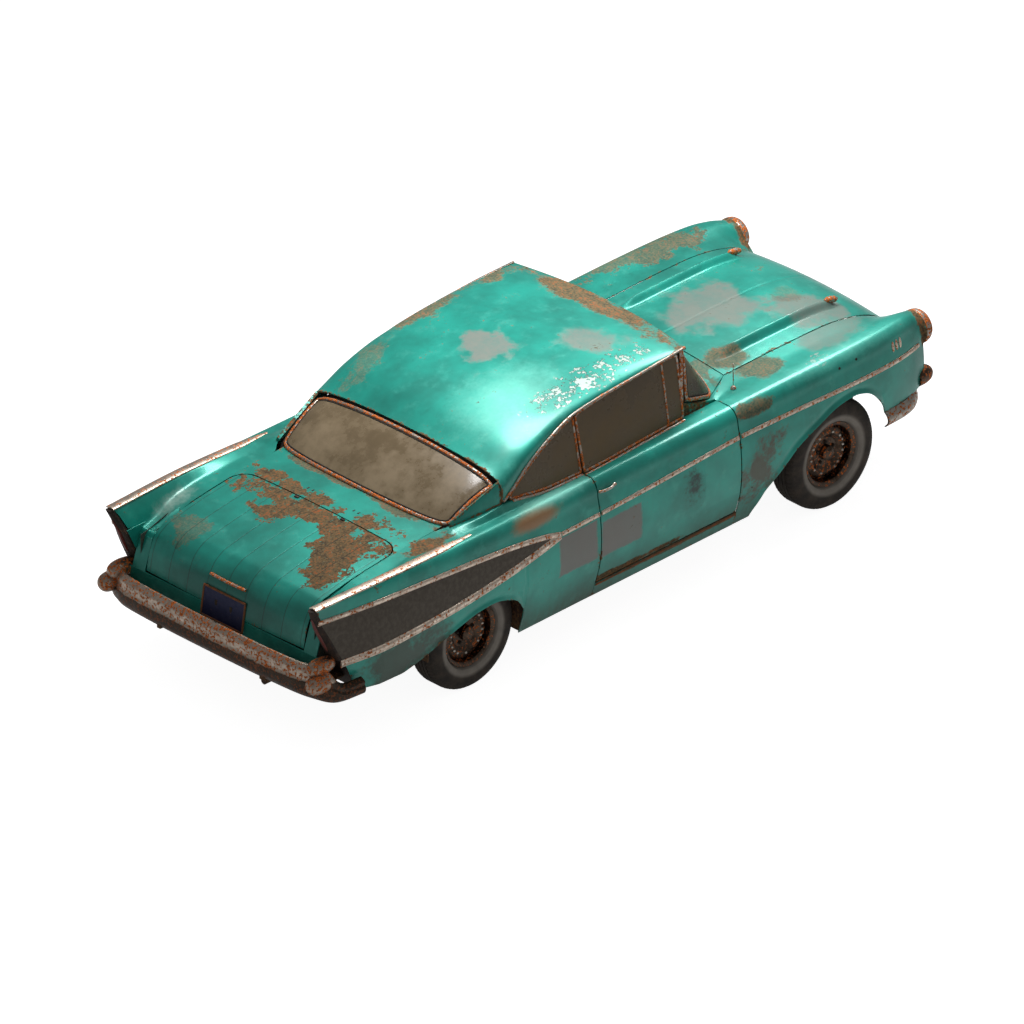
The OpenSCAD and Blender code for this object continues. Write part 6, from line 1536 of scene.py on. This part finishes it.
for y, r in gauges["sizes"]:
    dial = [[0, 2], [r - 8, 2], [r - 4, 9], [r, 8], [r + 2, -6], [0, -6]]
    spot = (gauges["x"], y, gauges["z"])
    lathe(f"gauge{y}", dial, 36, spot, gauges["axis"], "dial", slot="interior")
    lathe(f"gaugeRing{y}", roundProfile(4, 8) + (r - 2, 7), 36, spot, gauges["axis"], "chromeTired",
          closed=True)
for number, y in enumerate((-40, 20, 80)):
    lathe(f"dashKnob{number}", [[0, 24], [10, 22], [12, 12], [8, 0], [0, 0]], 20, (674, y, 850), (-1, 0, 0), "knob",
          slot="interior")
sweep("dashTrim", [(676, y, 880) for y in np.linspace(-660, 660, 40)], (-1, 0, 0.1), halfRound(16, 6, 4),
      "chromeTired")
print("cabin made")

# Camera, floor and lights
view = dict(target=(-0.372, -0.304, 0.6), back=(-0.6124, -0.6124, 0.5), width=5.868, distance=14)
target = np.array(view["target"])
camera = bpy.data.objects.new("camera", bpy.data.cameras.new("camera"))
camera.data.type, camera.data.ortho_scale, camera.data.clip_end = "ORTHO", view["width"], 60
camera.location = target + np.array(view["back"]) * view["distance"]
camera.rotation_euler = Vector(-np.array(view["back"])).to_track_quat("-Z", "Y").to_euler()
bpy.context.scene.collection.objects.link(camera)
bpy.context.scene.camera = camera

floorMesh = bpy.data.meshes.new("floor")
reach = 40
floorMesh.from_pydata([(-reach, -reach, 0), (reach, -reach, 0), (reach, reach, 0), (-reach, reach, 0)], [],
                      [(0, 1, 2, 3)])
floor = bpy.data.objects.new("floor", floorMesh)
bpy.context.scene.collection.objects.link(floor)
floorMaterial, floorShader, _ = newMaterial("pale floor")
rays = floorMaterial.node_tree.nodes.new("ShaderNodeLightPath").outputs
seen = Wire(floorMaterial.node_tree,
            rays["Is Camera Ray"]).highest(Wire(floorMaterial.node_tree, rays["Is Glossy Ray"]) * 0.3)
setInputs(floorShader, Base_Color=(0.45, 0.45, 0.45), Roughness=0.9, Emission_Color=(1.0, 1.0, 1.0),
          Emission_Strength=seen * 0.93)
floorMesh.materials.append(floorMaterial)

# Each light's place, size and power; all look at the car's middle
lights = dict(over=((0.2, 0.3, 4.9), (2.1, 1.6), 175), side=((-4.5, -6.5, 3.2), (3.0, 2.0), 14),
              front=((3.9, 0.6, 4.6), (1.7, 1.7), 150))
for name, (place, size, power) in lights.items():
    light = bpy.data.lights.new(name, "AREA")
    light.shape, light.size, light.size_y, light.energy = "RECTANGLE", size[0], size[1], power
    fixture = bpy.data.objects.new(name, light)
    fixture.location = place
    fixture.rotation_euler = (Vector((-0.2, 0, 0.6)) - Vector(place)).to_track_quat("-Z", "Y").to_euler()
    bpy.context.scene.collection.objects.link(fixture)
world = bpy.data.worlds.new("studio")
bpy.context.scene.world = world
world.use_nodes = True
sky = world.node_tree.nodes["Background"]
rays = world.node_tree.nodes.new("ShaderNodeLightPath").outputs
direct = Wire(world.node_tree, rays["Is Camera Ray"])
sky.inputs["Color"].default_value = (1, 1, 1, 1)
world.node_tree.links.new((direct * 0.76 + 0.24).socket, sky.inputs["Strength"])
bpy.context.scene.view_settings.view_transform = "Standard"
print("camera and lights set")
